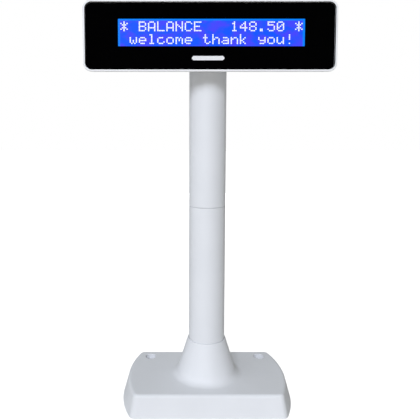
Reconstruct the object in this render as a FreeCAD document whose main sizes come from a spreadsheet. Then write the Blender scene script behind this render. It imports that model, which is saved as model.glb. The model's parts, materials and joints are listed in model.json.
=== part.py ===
import FreeCAD, Part
import math
import os

import Sketcher

# Customer pole display: a weighted counter base with a conical neck, a two-piece round pole,
# a swivel knuckle and a tilting head that holds a two-line character module.
# +X is to the right of a customer who faces the screen, +Y points away from that customer and
# +Z is up. The origin is on the counter, on the pole's axis. All sizes are in millimetres.

CELLS = {
    # base cover
    "rim_gap": 1.0,
    "base_top": 20.0,
    "base_wall": 2.5,
    "foot_end_half": 65.3,
    "foot_mid_half": 75.8,
    "foot_half_depth": 45.0,
    "top_end_half": 62.3,
    "top_mid_half": 70.4,
    "top_half_depth": 41.8,
    "base_edge_round": 2.8,
    "base_corner_round": 5.0,
    # conical neck of the base cover
    "neck_foot_radius": 27.4,
    "neck_top_radius": 17.1,
    "neck_top": 53.0,
    "neck_wall": 2.6,
    "neck_foot_round": 7.0,
    "neck_lip_round": 0.5,
    "neck_bore_length": 7.0,
    "pole_fit": 0.3,
    # wells for the counter screws
    "well_x": 53.0,
    "well_y": 30.5,
    "well_radius": 5.25,
    "well_wall": 1.6,
    "well_floor": 3.0,
    "counter_screw_radius": 2.6,
    "plug_sink": 6.0,
    "plug_thickness": 2.0,
    # bottom plate, feet and the screws that close the base
    "rubber_height": 2.4,
    "rubber_radius": 6.0,
    "rubber_x": 40.0,
    "rubber_y": 31.0,
    "plate_thickness": 2.0,
    "plate_end_half": 61.8,
    "plate_mid_half": 71.6,
    "plate_half_depth": 41.4,
    "plate_corner_round": 2.0,
    "base_screw_x": 24.0,
    "base_screw_y": 36.0,
    "base_boss_radius": 3.2,
    "base_screw_depth": 8.0,
    # ballast
    "ballast_inner_x": 30.5,
    "ballast_width": 31.5,
    "ballast_front_y": -34.0,
    "ballast_depth": 56.0,
    "ballast_height": 8.0,
    "ballast_screw_x": 46.0,
    "ballast_screw_front_y": -24.0,
    "ballast_screw_back_y": 12.0,
    # flange that holds the pole
    "flange_radius": 27.0,
    "flange_thickness": 4.0,
    "flange_floor": 2.0,
    "flange_collar_radius": 19.0,
    "flange_collar_height": 21.0,
    "flange_screw_offset": 16.0,
    "flange_window_radius": 10.0,
    "flange_flat_gap": 0.3,
    "grub_radius": 2.0,
    "grub_rise": 15.0,
    "lead_slot_front_y": 5.0,
    "lead_slot_width": 9.0,
    "lead_slot_height": 9.6,
    # data socket
    "washer_height": 1.0,
    "washer_radius": 2.8,
    "socket_board_width": 28.0,
    "socket_board_depth": 19.0,
    "socket_board_back_y": 38.5,
    "socket_board_thickness": 1.2,
    "socket_board_screw_x": 10.8,
    "socket_board_screw_y": 25.0,
    "socket_width": 12.4,
    "socket_height": 10.4,
    "socket_depth": 14.0,
    "socket_wall": 1.0,
    "socket_window_gap": 0.5,
    "socket_back_y": 41.2,
    "socket_tongue_reach": 7.7,
    "socket_tongue_height": 1.6,
    "header_width": 7.5,
    "header_depth": 4.5,
    "header_height": 5.0,
    # screws
    "small_head_radius": 2.7,
    "small_head_height": 1.4,
    "tall_head_height": 2.0,
    "narrow_head_radius": 2.4,
    "small_shank_radius": 1.5,
    "clear_hole_radius": 1.6,
    "screw_spare": 0.5,
    # pole
    "pole_radius": 16.0,
    "pole_wall": 2.0,
    "pole_joint": 173.8,
    "pole_gap": 0.25,
    "pole_top": 293.8,
    "pole_edge_chamfer": 0.2,
    "coupler_half_length": 25.0,
    "coupler_wall": 2.0,
    "coupler_fit": 0.1,
    "coupler_screw_reach": 14.0,
    "coupler_head_radius": 2.6,
    "coupler_head_height": 1.0,
    "coupler_head_sink": 1.3,
    # swivel
    "bush_flange": 2.0,
    "bush_depth": 10.0,
    "bush_bore_fit": 0.05,
    "friction_washer_height": 0.6,
    "friction_washer_inset": 1.0,
    "friction_washer_gap": 0.3,
    "spindle_radius": 9.0,
    "spindle_bore_radius": 5.0,
    "spindle_tail": 7.0,
    "ring_drop": 1.5,
    "ring_groove_depth": 1.0,
    "ring_thickness": 1.0,
    "ring_outer_radius": 12.2,
    "ring_mouth": 9.0,
    "swivel_play": 0.1,
    "knuckle_thickness": 3.0,
    # tilt hinge
    "tilt_height": 310.0,
    "tilt_rest_angle": 2.0,
    "ear_inner_x": 6.3,
    "ear_thickness": 4.0,
    "ear_radius": 7.5,
    "tilt_washer": 0.8,
    "tilt_washer_inset": 0.3,
    "hinge_play": 0.05,
    "cheek_thickness": 2.0,
    "bracket_half_width": 19.8,
    "bracket_half_depth": 9.0,
    "bracket_thickness": 2.0,
    "bracket_underside": 11.0,
    "bracket_screw_x": 16.8,
    "bracket_screw_y": 6.0,
    "bracket_head_radius": 2.6,
    "bracket_head_height": 1.8,
    "tilt_bolt_radius": 2.0,
    "tilt_bolt_head_radius": 3.5,
    "tilt_bolt_head": 2.4,
    "tilt_nut_radius": 3.9,
    "tilt_nut": 3.2,
    "tilt_nut_gap": 0.1,
    # head housing, measured from the tilt axis
    "head_mid_z": 3.7,
    "head_front_y": -32.0,
    "head_parting_y": -24.0,
    "head_back_y": 14.0,
    "head_width": 202.5,
    "head_height": 56.4,
    "head_corner": 6.8,
    "parting_width": 200.3,
    "parting_height": 54.2,
    "parting_corner": 6.4,
    "back_width": 168.0,
    "back_height": 33.0,
    "back_corner": 9.0,
    "back_edge_round": 6.0,
    "front_edge_round": 0.6,
    "head_wall": 2.2,
    "housing_draft": 0.2,
    "ledge_thickness": 1.8,
    "lens_pocket_depth": 2.4,
    "lens_width": 199.2,
    "lens_height": 52.7,
    "lens_corner": 5.2,
    "lens_thickness": 2.0,
    "lens_gap": 0.15,
    "lens_sink": 0.2,
    "mask_thickness": 0.2,
    "mask_margin": 0.2,
    "window_x": 1.1,
    "window_z": 6.6,
    "window_width": 149.0,
    "window_height": 21.5,
    "window_corner": 0.5,
    "case_screw_x": 62.0,
    "case_screw_z": -16.8,
    "case_boss_radius": 3.0,
    "case_well_radius": 3.2,
    "case_well_wall": 1.4,
    "case_well_floor": 3.5,
    "case_shank_radius": 1.4,
    "case_shank_length": 7.1,
    # hinge recess in the rear cover
    "recess_half_width": 20.5,
    "recess_wall": 1.6,
    "recess_low_front_y": -20.4,
    "recess_high_front_y": -11.0,
    "recess_step_z": -8.0,
    "recess_ceiling_z": 13.0,
    "recess_ceiling": 3.0,
    "recess_boss_radius": 3.0,
    "recess_boss_height": 6.0,
    "recess_lead_radius": 3.0,
    # character module
    "module_front_y": -29.5,
    "bezel_width": 160.0,
    "bezel_height": 33.0,
    "bezel_sheet": 0.5,
    "bezel_window_width": 152.0,
    "bezel_window_height": 24.5,
    "bezel_opening_gap": 0.5,
    "bezel_opening_corner": 1.0,
    "cell_width": 158.0,
    "cell_height": 30.0,
    "cell_thickness": 2.2,
    "backlight_height": 25.0,
    "backlight_thickness": 2.9,
    "strip_length": 150.0,
    "strip_width": 1.8,
    "strip_offset": 13.8,
    "module_board_width": 180.0,
    "module_board_height": 37.0,
    "board_thickness": 1.6,
    "module_screw_x": 86.0,
    "module_screw_z": 15.5,
    "module_boss_radius": 2.6,
    "module_head_radius": 2.3,
    "module_head_height": 1.5,
    "module_shank_radius": 1.2,
    "module_shank_length": 4.6,
    "board_hole_gap": 0.15,
    "blob_radius": 6.5,
    "blob_height": 1.6,
    "blob_edge_round": 1.2,
    "blob_inner_x": 36.0,
    "blob_outer_x": 60.0,
    "blob_right_shift": 9.0,
    # main board behind the character module
    "main_left_x": 26.0,
    "main_width": 60.0,
    "main_bottom_z": -9.0,
    "main_height": 34.0,
    "standoff_length": 6.7,
    "standoff_radius": 2.5,
    "standoff_inset_x": 4.0,
    "standoff_inset_z": 4.0,
    "standoff_top_z": 16.5,
    "pin_pitch": 2.54,
    "pin_side": 0.64,
    "pin_hole_gap": 0.2,
    "pin_first_x": 36.5,
    "pin_row_z": 21.5,
    "pin_tail": 1.8,
    "pin_strip_height": 2.5,
    "chip_side": 12.0,
    "chip_thickness": 1.4,
    "chip_x": 62.0,
    "chip_z": 8.0,
    "driver_length": 10.0,
    "driver_width": 6.0,
    "driver_thickness": 1.8,
    "driver_x": 49.0,
    "driver_z": -3.5,
    "regulator_side": 6.5,
    "regulator_thickness": 2.3,
    "regulator_x": 78.0,
    "regulator_z": 5.0,
    "capacitor_radius": 3.15,
    "capacitor_height": 7.5,
    "capacitor_first_x": 66.0,
    "capacitor_pitch": 8.0,
    "capacitor_z": -4.0,
    "lead_socket_x": 36.0,
    "lead_socket_width": 8.0,
    "lead_socket_depth": 6.0,
    "lead_socket_bottom_z": -2.0,
    "lead_socket_height": 8.0,
    "lead_socket_wall": 0.6,
    "lead_plug_gap": 0.1,
    "lead_plug_height": 10.0,
    # internal leads
    "lead_radius": 1.8,
    "lead_bend": 12.0,
    "lead_rise": 12.6,
    "head_lead_radius": 1.5,
    "head_lead_start": 1.6,
    "head_lead_top_z": 19.0,
    "head_lead_turn_x": 27.0,
    "head_lead_bend": 6.0,
    # how far a cutting tool runs past a surface, and a joined piece into its neighbour
    "overrun": 1.0,
    # gap around a piece that slides into another by hand
    "slip_fit": 0.05,
}
PIN_COUNT = 16
TUBE_VOLUME_TOLERANCE = 0.01

doc = FreeCAD.newDocument("customer_pole_display")
sheet = doc.addObject("Spreadsheet::Sheet", "Sizes")


class Size:
    """A length that knows both its expression in the sheet's cells and its present value."""

    def __init__(self, text, number):
        self.text = text
        self.number = number

    def joined(self, sign, other, number):
        return Size("(" + self.text + " " + sign + " " + other.text + ")", number)

    def __add__(self, other):
        other = as_size(other)
        return self.joined("+", other, self.number + other.number)

    def __sub__(self, other):
        other = as_size(other)
        return self.joined("-", other, self.number - other.number)

    def __mul__(self, other):
        other = as_size(other)
        return self.joined("*", other, self.number * other.number)

    def __truediv__(self, other):
        other = as_size(other)
        return self.joined("/", other, self.number / other.number)

    def __radd__(self, other):
        return as_size(other) + self

    def __rsub__(self, other):
        return as_size(other) - self

    def __rmul__(self, other):
        return as_size(other) * self

    def __neg__(self):
        return Size("(0 - " + self.text + ")", -self.number)


def as_size(value):
    if isinstance(value, Size):
        return value
    return Size(repr(float(value)), float(value))


class Cells:
    """Every named cell of the sheet, as a Size."""


def fill_sheet():
    cells = Cells()
    for row, (alias, number) in enumerate(CELLS.items(), start=1):
        sheet.set("A%d" % row, alias)
        sheet.set("B%d" % row, str(number))
        sheet.setAlias("B%d" % row, alias)
        setattr(cells, alias, Size("Sizes." + alias, float(number)))
    doc.recompute()
    return cells


c = fill_sheet()


def tie(item, prop, size):
    item.setExpression(prop, as_size(size).text)


def shift(item, x=0, y=0, z=0):
    tie(item, "Placement.Base.x", x)
    tie(item, "Placement.Base.y", y)
    tie(item, "Placement.Base.z", z)


# ---------------------------------------------------------------- primitives and booleans

TURN_TO = {
    "X": FreeCAD.Rotation(FreeCAD.Vector(0, 1, 0), 90),
    "Y": FreeCAD.Rotation(FreeCAD.Vector(1, 0, 0), -90),
    "Z": FreeCAD.Rotation(),
}


def block(name, low, size):
    """A box from its low corner and its three lengths."""
    item = doc.addObject("Part::Box", name)
    tie(item, "Length", size[0])
    tie(item, "Width", size[1])
    tie(item, "Height", size[2])
    shift(item, *low)
    return item


def centred_block(name, centre, size):
    """A box from the middle of its lower face and its three lengths."""
    low = (centre[0] - as_size(size[0]) / 2, centre[1] - as_size(size[1]) / 2, centre[2])
    return block(name, low, size)


def rod(name, start, radius, length, along="Z"):
    """A cylinder that starts at a point and runs along +X, +Y or +Z."""
    item = doc.addObject("Part::Cylinder", name)
    item.Placement = FreeCAD.Placement(FreeCAD.Vector(), TURN_TO[along])
    tie(item, "Radius", radius)
    tie(item, "Height", length)
    shift(item, *start)
    return item


def fused(name, items):
    if len(items) == 1:
        return items[0]
    item = doc.addObject("Part::MultiFuse", name)
    item.Shapes = items
    return item


def cut(name, base, tools):
    item = doc.addObject("Part::Cut", name)
    item.Base = base
    item.Tool = fused(name + "_tools", tools)
    return item


def group(name, items):
    """Several separate solids that share one node."""
    item = doc.addObject("Part::Compound", name)
    item.Links = items
    return item


def ring(name, start, outer, inner, length, along="Z"):
    body = rod(name + "_outer", start, outer, length, along)
    hole = rod(name + "_inner", start, inner, length, along)
    return cut(name, body, [hole])


def screw(name, seat, way, head_radius, head_height, shank_radius, shank_length, along):
    """A pan-head screw: its head stands from the seat against way, its shank runs along way."""
    x, y, z = seat
    step = {"X": (1, 0, 0), "Y": (0, 1, 0), "Z": (0, 0, 1)}[along]
    head_back = as_size(0) if way < 0 else -as_size(head_height)
    shank_back = -as_size(shank_length) if way < 0 else as_size(0)
    head_at = [x + step[0] * head_back, y + step[1] * head_back, z + step[2] * head_back]
    shank_at = [x + step[0] * shank_back, y + step[1] * shank_back, z + step[2] * shank_back]
    head = rod(name + "_head", head_at, head_radius, head_height, along)
    shank = rod(name + "_shank", shank_at, shank_radius, shank_length, along)
    return fused(name, [head, shank])


# ---------------------------------------------------------------- sketches and bodies


def new_body(name):
    return doc.addObject("PartDesign::Body", name)


def sketch_on(body, role, name, offset=0):
    plane = [item for item in body.Origin.OriginFeatures if item.Role == role][0]
    sketch = body.newObject("Sketcher::SketchObject", name)
    sketch.AttachmentSupport = (plane, [""])
    sketch.MapMode = "FlatFace"
    tie(sketch, "AttachmentOffset.Base.z", offset)
    return sketch


def pin_point(sketch, geometry, end, x, y):
    """Hold a point of the sketch at x, y by two distances from the sketch's origin."""
    for kind, value in (("DistanceX", as_size(x)), ("DistanceY", as_size(y))):
        rule = sketch.addConstraint(Sketcher.Constraint(kind, -1, 1, geometry, end, value.number))
        if value.text != repr(value.number):
            sketch.setExpression("Constraints[%d]" % rule, value.text)


def hold_radius(sketch, geometry, radius):
    rule = sketch.addConstraint(Sketcher.Constraint("Radius", geometry, as_size(radius).number))
    sketch.setExpression("Constraints[%d]" % rule, as_size(radius).text)


def vector(x, y):
    return FreeCAD.Vector(as_size(x).number, as_size(y).number, 0)


def polygon(sketch, points):
    """A closed outline of straight lines with every corner held by the sheet."""
    count = len(points)
    for index in range(count):
        start = vector(*points[index])
        stop = vector(*points[(index + 1) % count])
        sketch.addGeometry(Part.LineSegment(start, stop))
    for index in range(count):
        following = (index + 1) % count
        sketch.addConstraint(Sketcher.Constraint("Coincident", index, 2, following, 1))
        pin_point(sketch, index, 1, *points[index])


def rounded_rectangle(sketch, width, height, radius, mid_x=0, mid_y=0):
    """Four lines joined by four tangent arcs, held by the centres of two opposite arcs."""
    side = as_size(width) / 2 - radius
    rise = as_size(height) / 2 - radius
    mid_x = as_size(mid_x)
    mid_y = as_size(mid_y)
    size = as_size(radius).number
    corners = [(1, -1), (1, 1), (-1, 1), (-1, -1)]
    middles = [vector(mid_x + sx * side, mid_y + sy * rise) for sx, sy in corners]
    for index, middle in enumerate(middles):
        begin = math.radians(-90 + 90 * index)
        circle = Part.Circle(middle, FreeCAD.Vector(0, 0, 1), size)
        sketch.addGeometry(Part.ArcOfCircle(circle, begin, begin + math.pi / 2))
    for index, middle in enumerate(middles):
        turn = math.radians(90 * index)
        outwards = FreeCAD.Vector(math.cos(turn), math.sin(turn), 0) * size
        sketch.addGeometry(Part.LineSegment(middle + outwards, middles[(index + 1) % 4] + outwards))
    for index in range(4):
        line = 4 + index
        sketch.addConstraint(Sketcher.Constraint("Tangent", index, 2, line, 1))
        sketch.addConstraint(Sketcher.Constraint("Tangent", line, 2, (index + 1) % 4, 1))
        kind = "Vertical" if index % 2 == 0 else "Horizontal"
        sketch.addConstraint(Sketcher.Constraint(kind, line))
    for index in range(1, 4):
        sketch.addConstraint(Sketcher.Constraint("Equal", 0, index))
    hold_radius(sketch, 0, radius)
    pin_point(sketch, 0, 3, mid_x + side, mid_y - rise)
    pin_point(sketch, 2, 3, mid_x - side, mid_y + rise)


def bowed_outline(sketch, end_half, mid_half, half_depth):
    """Straight front and back edges, and two sides that bow outwards in one arc each."""
    sag = mid_half - end_half
    radius = (half_depth * half_depth + sag * sag) / (2 * sag)
    reach = (mid_half - radius).number
    half_angle = math.asin(half_depth.number / radius.number)
    up = FreeCAD.Vector(0, 0, 1)
    right = Part.Circle(FreeCAD.Vector(reach, 0, 0), up, radius.number)
    left = Part.Circle(FreeCAD.Vector(-reach, 0, 0), up, radius.number)
    sketch.addGeometry(Part.ArcOfCircle(right, -half_angle, half_angle))
    sketch.addGeometry(Part.LineSegment(vector(end_half, half_depth), vector(-end_half, half_depth)))
    sketch.addGeometry(Part.ArcOfCircle(left, math.pi - half_angle, math.pi + half_angle))
    sketch.addGeometry(Part.LineSegment(vector(-end_half, -half_depth), vector(end_half, -half_depth)))
    for index in range(4):
        sketch.addConstraint(Sketcher.Constraint("Coincident", index, 2, (index + 1) % 4, 1))
    pin_point(sketch, 0, 1, end_half, -half_depth)
    pin_point(sketch, 1, 1, end_half, half_depth)
    pin_point(sketch, 2, 1, -end_half, half_depth)
    pin_point(sketch, 3, 1, -end_half, -half_depth)
    hold_radius(sketch, 0, radius)
    hold_radius(sketch, 2, radius)


def pad(body, sketch, length, name):
    feature = body.newObject("PartDesign::Pad", name)
    feature.Profile = sketch
    tie(feature, "Length", length)
    return feature


def loft(body, first, last, name):
    feature = body.newObject("PartDesign::AdditiveLoft", name)
    feature.Profile = first
    feature.Sections = [last]
    feature.Ruled = True
    return feature


def revolve(body, sketch, name):
    feature = body.newObject("PartDesign::Revolution", name)
    feature.Profile = sketch
    feature.ReferenceAxis = (sketch, ["V_Axis"])
    feature.Angle = 360
    return feature


def edges_where(feature, test):
    names = []
    for index, edge in enumerate(feature.Shape.Edges, start=1):
        if test(edge):
            names.append("Edge%d" % index)
    return names


def dressed(body, base, kind, name, prop, size, test):
    """A fillet or chamfer on the base feature's edges that pass the test."""
    doc.recompute()
    feature = body.newObject(kind, name)
    feature.Base = (base, edges_where(base, test))
    tie(feature, prop, size)
    return feature


def lies_at_height(edge, height, slack=0.01):
    box = edge.BoundBox
    return abs(box.ZMin - height) < slack and abs(box.ZMax - height) < slack


def lies_at_depth(edge, depth, slack=0.01):
    box = edge.BoundBox
    return abs(box.YMin - depth) < slack and abs(box.YMax - depth) < slack


def turned_piece(name, points):
    """A solid of revolution about +Z from its half outline in radius and height."""
    body = new_body(name)
    sketch = sketch_on(body, "XZ_Plane", name + "_outline")
    polygon(sketch, points)
    revolve(body, sketch, name + "_turned")
    return body


def slab(name, width, height, radius, back_y, thickness, mid_x=0, mid_z=0):
    """An upright rounded plate whose back face is at back_y."""
    body = new_body(name)
    sketch = sketch_on(body, "XZ_Plane", name + "_outline", -as_size(back_y))
    rounded_rectangle(sketch, width, height, radius, mid_x, mid_z)
    pad(body, sketch, thickness, name + "_pad")
    return body


def tapered(name, front, back, mid_z):
    """An upright block whose rounded section changes evenly from its front to its back.

    Each end is width, height, corner radius and y.
    """
    body = new_body(name)
    ends = []
    for label, (width, height, radius, y) in (("front", front), ("back", back)):
        sketch = sketch_on(body, "XZ_Plane", name + "_" + label, -as_size(y))
        rounded_rectangle(sketch, width, height, radius, 0, mid_z)
        ends.append(sketch)
    loft(body, ends[1], ends[0], name + "_loft")
    return body


# ---------------------------------------------------------------- bookkeeping of the sub-parts

nodes = {}


def keep(name, item):
    """Take an object as the sub-part called name."""
    item.Label = name
    nodes[name] = item
    return item


def keep_in_head(name, item):
    """Take an object drawn about the tilt axis, and hang it there, leaning back."""
    held = group(name + "_held", [item])
    held.Placement = FreeCAD.Placement(
        FreeCAD.Vector(0, 0, c.tilt_height.number),
        FreeCAD.Rotation(FreeCAD.Vector(1, 0, 0), -c.tilt_rest_angle.number),
    )
    tie(held, "Placement.Base.z", c.tilt_height)
    tie(held, "Placement.Rotation.Angle", c.tilt_rest_angle)
    tie(held, "Placement.Rotation.Axis.x", -1)
    return keep(name, held)


# ---------------------------------------------------------------- base

plate_bottom = c.rubber_height
plate_top = c.rubber_height + c.plate_thickness
cavity_top = c.base_top - c.base_wall
MIRRORED = ((1, 1), (-1, 1), (-1, -1), (1, -1))


def base_outline(body, name, z, inset=0):
    """The base's outline at a height, drawn in by inset."""
    share = (as_size(z) - c.rim_gap) / (c.base_top - c.rim_gap)
    end_half = c.foot_end_half + (c.top_end_half - c.foot_end_half) * share - inset
    mid_half = c.foot_mid_half + (c.top_mid_half - c.foot_mid_half) * share - inset
    half_depth = c.foot_half_depth + (c.top_half_depth - c.foot_half_depth) * share - inset
    sketch = sketch_on(body, "XY_Plane", name, z)
    bowed_outline(sketch, end_half, mid_half, half_depth)
    return sketch


def base_envelope():
    body = new_body("base_envelope")
    low = base_outline(body, "envelope_foot", c.rim_gap)
    high = base_outline(body, "envelope_top", c.base_top)
    drum = loft(body, high, low, "envelope_loft")
    doc.recompute()

    corners = dressed(body, drum, "PartDesign::Fillet", "envelope_corners", "Radius",
                      c.base_corner_round,
                      lambda edge: edge.BoundBox.ZLength > c.base_top.number / 2)
    rim = dressed(body, corners, "PartDesign::Fillet", "envelope_rim", "Radius",
                  c.base_edge_round, lambda edge: lies_at_height(edge, c.base_top.number))
    cone_sketch = sketch_on(body, "XZ_Plane", "neck_outline")
    polygon(cone_sketch, [
        (0, c.base_top - c.overrun),
        (c.neck_foot_radius, c.base_top - c.overrun),
        (c.neck_foot_radius, c.base_top),
        (c.neck_top_radius, c.neck_top),
        (0, c.neck_top),
    ])
    neck = revolve(body, cone_sketch, "neck_turned")

    foot_reach = (c.neck_foot_radius + c.overrun).number

    def at_foot(edge):
        return lies_at_height(edge, c.base_top.number) and edge.BoundBox.XMax < foot_reach

    foot = dressed(body, neck, "PartDesign::Fillet", "neck_foot_fillet", "Radius",
                   c.neck_foot_round, at_foot)
    dressed(body, foot, "PartDesign::Fillet", "neck_lip_fillet", "Radius",
            c.neck_lip_round, lambda edge: lies_at_height(edge, c.neck_top.number))
    doc.recompute()
    return body


def base_cavity():
    """The hollow under the cover's top, and the hollow of the cone down to the pole's bore."""
    body = new_body("base_cavity")
    low = base_outline(body, "cavity_foot", c.rim_gap - c.overrun, c.base_wall)
    high = base_outline(body, "cavity_top", cavity_top, c.base_wall)
    loft(body, high, low, "cavity_loft")
    bore_radius = c.pole_radius + c.pole_fit
    bore_foot = c.neck_top - c.neck_bore_length
    sketch = sketch_on(body, "XZ_Plane", "cavity_cone")
    polygon(sketch, [
        (0, cavity_top - c.overrun),
        (c.neck_foot_radius - c.neck_wall, cavity_top - c.overrun),
        (c.neck_foot_radius - c.neck_wall, cavity_top),
        (bore_radius, bore_foot),
        (bore_radius, c.neck_top + c.overrun),
        (0, c.neck_top + c.overrun),
    ])
    revolve(body, sketch, "cavity_turned")
    return body


def make_base_cover():
    keeps = []
    cuts = []
    plugs = []
    boss_height = cavity_top - plate_top + c.overrun
    for index, (sx, sy) in enumerate(MIRRORED):
        at = (sx * c.base_screw_x, sy * c.base_screw_y, plate_top)
        keeps.append(rod("cover_boss_%d" % index, at, c.base_boss_radius, boss_height))
        depth = c.base_screw_depth + c.screw_spare
        cuts.append(rod("cover_pilot_%d" % index, at, c.small_shank_radius, depth))
    for side, sx in (("right", 1), ("left", -1)):
        at = (sx * c.well_x, c.well_y, plate_top)
        keeps.append(rod("well_boss_" + side, at, c.well_radius + c.well_wall, boss_height))
        cuts.append(rod("well_hole_" + side, at, c.counter_screw_radius, boss_height))
        floor = (sx * c.well_x, c.well_y, plate_top + c.well_floor)
        cuts.append(rod("well_" + side, floor, c.well_radius, c.base_top))
        low = (sx * c.well_x, c.well_y, c.base_top - c.plug_sink - c.plug_thickness)
        plugs.append(rod("well_plug_" + side, low, c.well_radius, c.plug_thickness))
    keep("screw_hole_plugs", group("plug_group", plugs))
    hollow = cut("base_hollow", base_cavity(), keeps)
    shell = cut("base_shell", base_envelope(), [hollow])
    width = c.socket_width + 2 * c.socket_window_gap
    height = c.socket_height + 2 * c.socket_window_gap
    sill = plate_top + c.washer_height + c.socket_board_thickness - c.socket_window_gap
    cuts.append(centred_block("socket_window", (0, c.foot_half_depth - c.base_wall, sill),
                              (width, 4 * c.base_wall, height)))
    keep("base_cover", cut("cover_cut", shell, cuts))


def make_base_plate():
    body = new_body("plate_blank")
    sketch = sketch_on(body, "XY_Plane", "plate_outline", plate_bottom)
    bowed_outline(sketch, c.plate_end_half, c.plate_mid_half, c.plate_half_depth)
    blank = pad(body, sketch, c.plate_thickness, "plate_pad")
    dressed(body, blank, "PartDesign::Fillet", "plate_corners", "Radius", c.plate_corner_round,
            lambda edge: edge.BoundBox.ZLength > c.plate_thickness.number / 2)
    holes = []

    def drill(label, x, y, radius):
        holes.append(rod("plate_hole_" + label, (x, y, plate_bottom), radius, c.plate_thickness))

    for index, (sx, sy) in enumerate(MIRRORED):
        drill("base_%d" % index, sx * c.base_screw_x, sy * c.base_screw_y, c.clear_hole_radius)
        drill("flange_%d" % index, sx * c.flange_screw_offset, sy * c.flange_screw_offset,
              c.small_shank_radius)
    for side, sx in (("right", 1), ("left", -1)):
        drill("counter_" + side, sx * c.well_x, c.well_y, c.counter_screw_radius)
        drill("board_" + side, sx * c.socket_board_screw_x, c.socket_board_screw_y,
              c.small_shank_radius)
        for label, y in (("front", c.ballast_screw_front_y), ("back", c.ballast_screw_back_y)):
            drill("ballast_%s_%s" % (side, label), sx * c.ballast_screw_x, y, c.small_shank_radius)
    keep("base_plate", cut("plate_cut", body, holes))


def make_feet_and_base_screws():
    feet = []
    screws = []
    for index, (sx, sy) in enumerate(MIRRORED):
        foot = rod("foot_blank_%d" % index, (sx * c.rubber_x, sy * c.rubber_y, 0), c.rubber_radius,
                   c.rubber_height)
        feet.append(foot)
        seat = (sx * c.base_screw_x, sy * c.base_screw_y, plate_bottom)
        length = c.plate_thickness + c.base_screw_depth
        screws.append(screw("base_screw_%d" % index, seat, 1, c.small_head_radius,
                            c.small_head_height, c.small_shank_radius, length, "Z"))
    keep("rubber_feet", group("feet_group", feet))
    keep("base_screws", group("base_screw_group", screws))


def make_ballast():
    screws = []
    for side, sx in (("right", 1), ("left", -1)):
        mid_x = sx * (c.ballast_inner_x + c.ballast_width / 2)
        mid_y = c.ballast_front_y + c.ballast_depth / 2
        slug = centred_block("ballast_blank_" + side, (mid_x, mid_y, plate_top),
                             (c.ballast_width, c.ballast_depth, c.ballast_height))
        holes = []
        for label, y in (("front", c.ballast_screw_front_y), ("back", c.ballast_screw_back_y)):
            name = "ballast_%s_%s" % (side, label)
            at = (sx * c.ballast_screw_x, y, plate_top)
            holes.append(rod(name + "_hole", at, c.clear_hole_radius, c.ballast_height))
            seat = (sx * c.ballast_screw_x, y, plate_top + c.ballast_height)
            length = c.ballast_height + c.plate_thickness
            screws.append(screw(name + "_screw", seat, -1, c.small_head_radius,
                                c.tall_head_height, c.small_shank_radius, length, "Z"))
        keep("ballast_" + side, cut("ballast_cut_" + side, slug, holes))
    keep("ballast_screws", group("ballast_screw_group", screws))


def make_pole_flange():
    collar_top = plate_top + c.flange_collar_height
    body = turned_piece("flange_blank", [
        (c.flange_window_radius, plate_top),
        (c.flange_radius, plate_top),
        (c.flange_radius, plate_top + c.flange_thickness),
        (c.flange_collar_radius, plate_top + c.flange_thickness),
        (c.flange_collar_radius, collar_top),
        (c.pole_radius + c.slip_fit, collar_top),
        (c.pole_radius + c.slip_fit, plate_top + c.flange_floor),
        (c.flange_window_radius, plate_top + c.flange_floor),
    ])
    flat_y = c.socket_board_back_y - c.socket_board_depth - c.flange_flat_gap
    cuts = [
        lead_slot("flange_lead_slot", c.flange_radius),
        block("flange_flat", (-c.flange_radius, flat_y, plate_top),
              (2 * c.flange_radius, c.flange_radius, c.flange_thickness)),
    ]
    screws = []
    for index, (sx, sy) in enumerate(MIRRORED):
        x = sx * c.flange_screw_offset
        y = sy * c.flange_screw_offset
        cuts.append(rod("flange_hole_%d" % index, (x, y, plate_top), c.clear_hole_radius,
                        c.flange_thickness))
        length = c.flange_thickness + c.plate_thickness
        screws.append(screw("flange_screw_%d" % index, (x, y, plate_top + c.flange_thickness), -1,
                            c.narrow_head_radius, c.tall_head_height, c.small_shank_radius,
                            length, "Z"))
    grub_length = c.flange_collar_radius - c.pole_radius
    grub_at = (0, -c.flange_collar_radius, plate_top + c.grub_rise)
    cuts.append(rod("flange_grub_hole",
                    (0, -c.flange_collar_radius - c.overrun, plate_top + c.grub_rise),
                    c.grub_radius, grub_length + c.overrun, "Y"))
    keep("pole_flange", cut("flange_cut", body, cuts))
    keep("flange_screws", group("flange_screw_group", screws))
    keep("pole_grub_screw", rod("grub", grub_at, c.grub_radius, grub_length, "Y"))


def lead_slot(name, reach):
    """The opening at the back of the pole's foot that lets the lead in."""
    low = (-c.lead_slot_width / 2, c.lead_slot_front_y, plate_top + c.flange_floor)
    return block(name, low, (c.lead_slot_width, reach, c.lead_slot_height))


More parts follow.
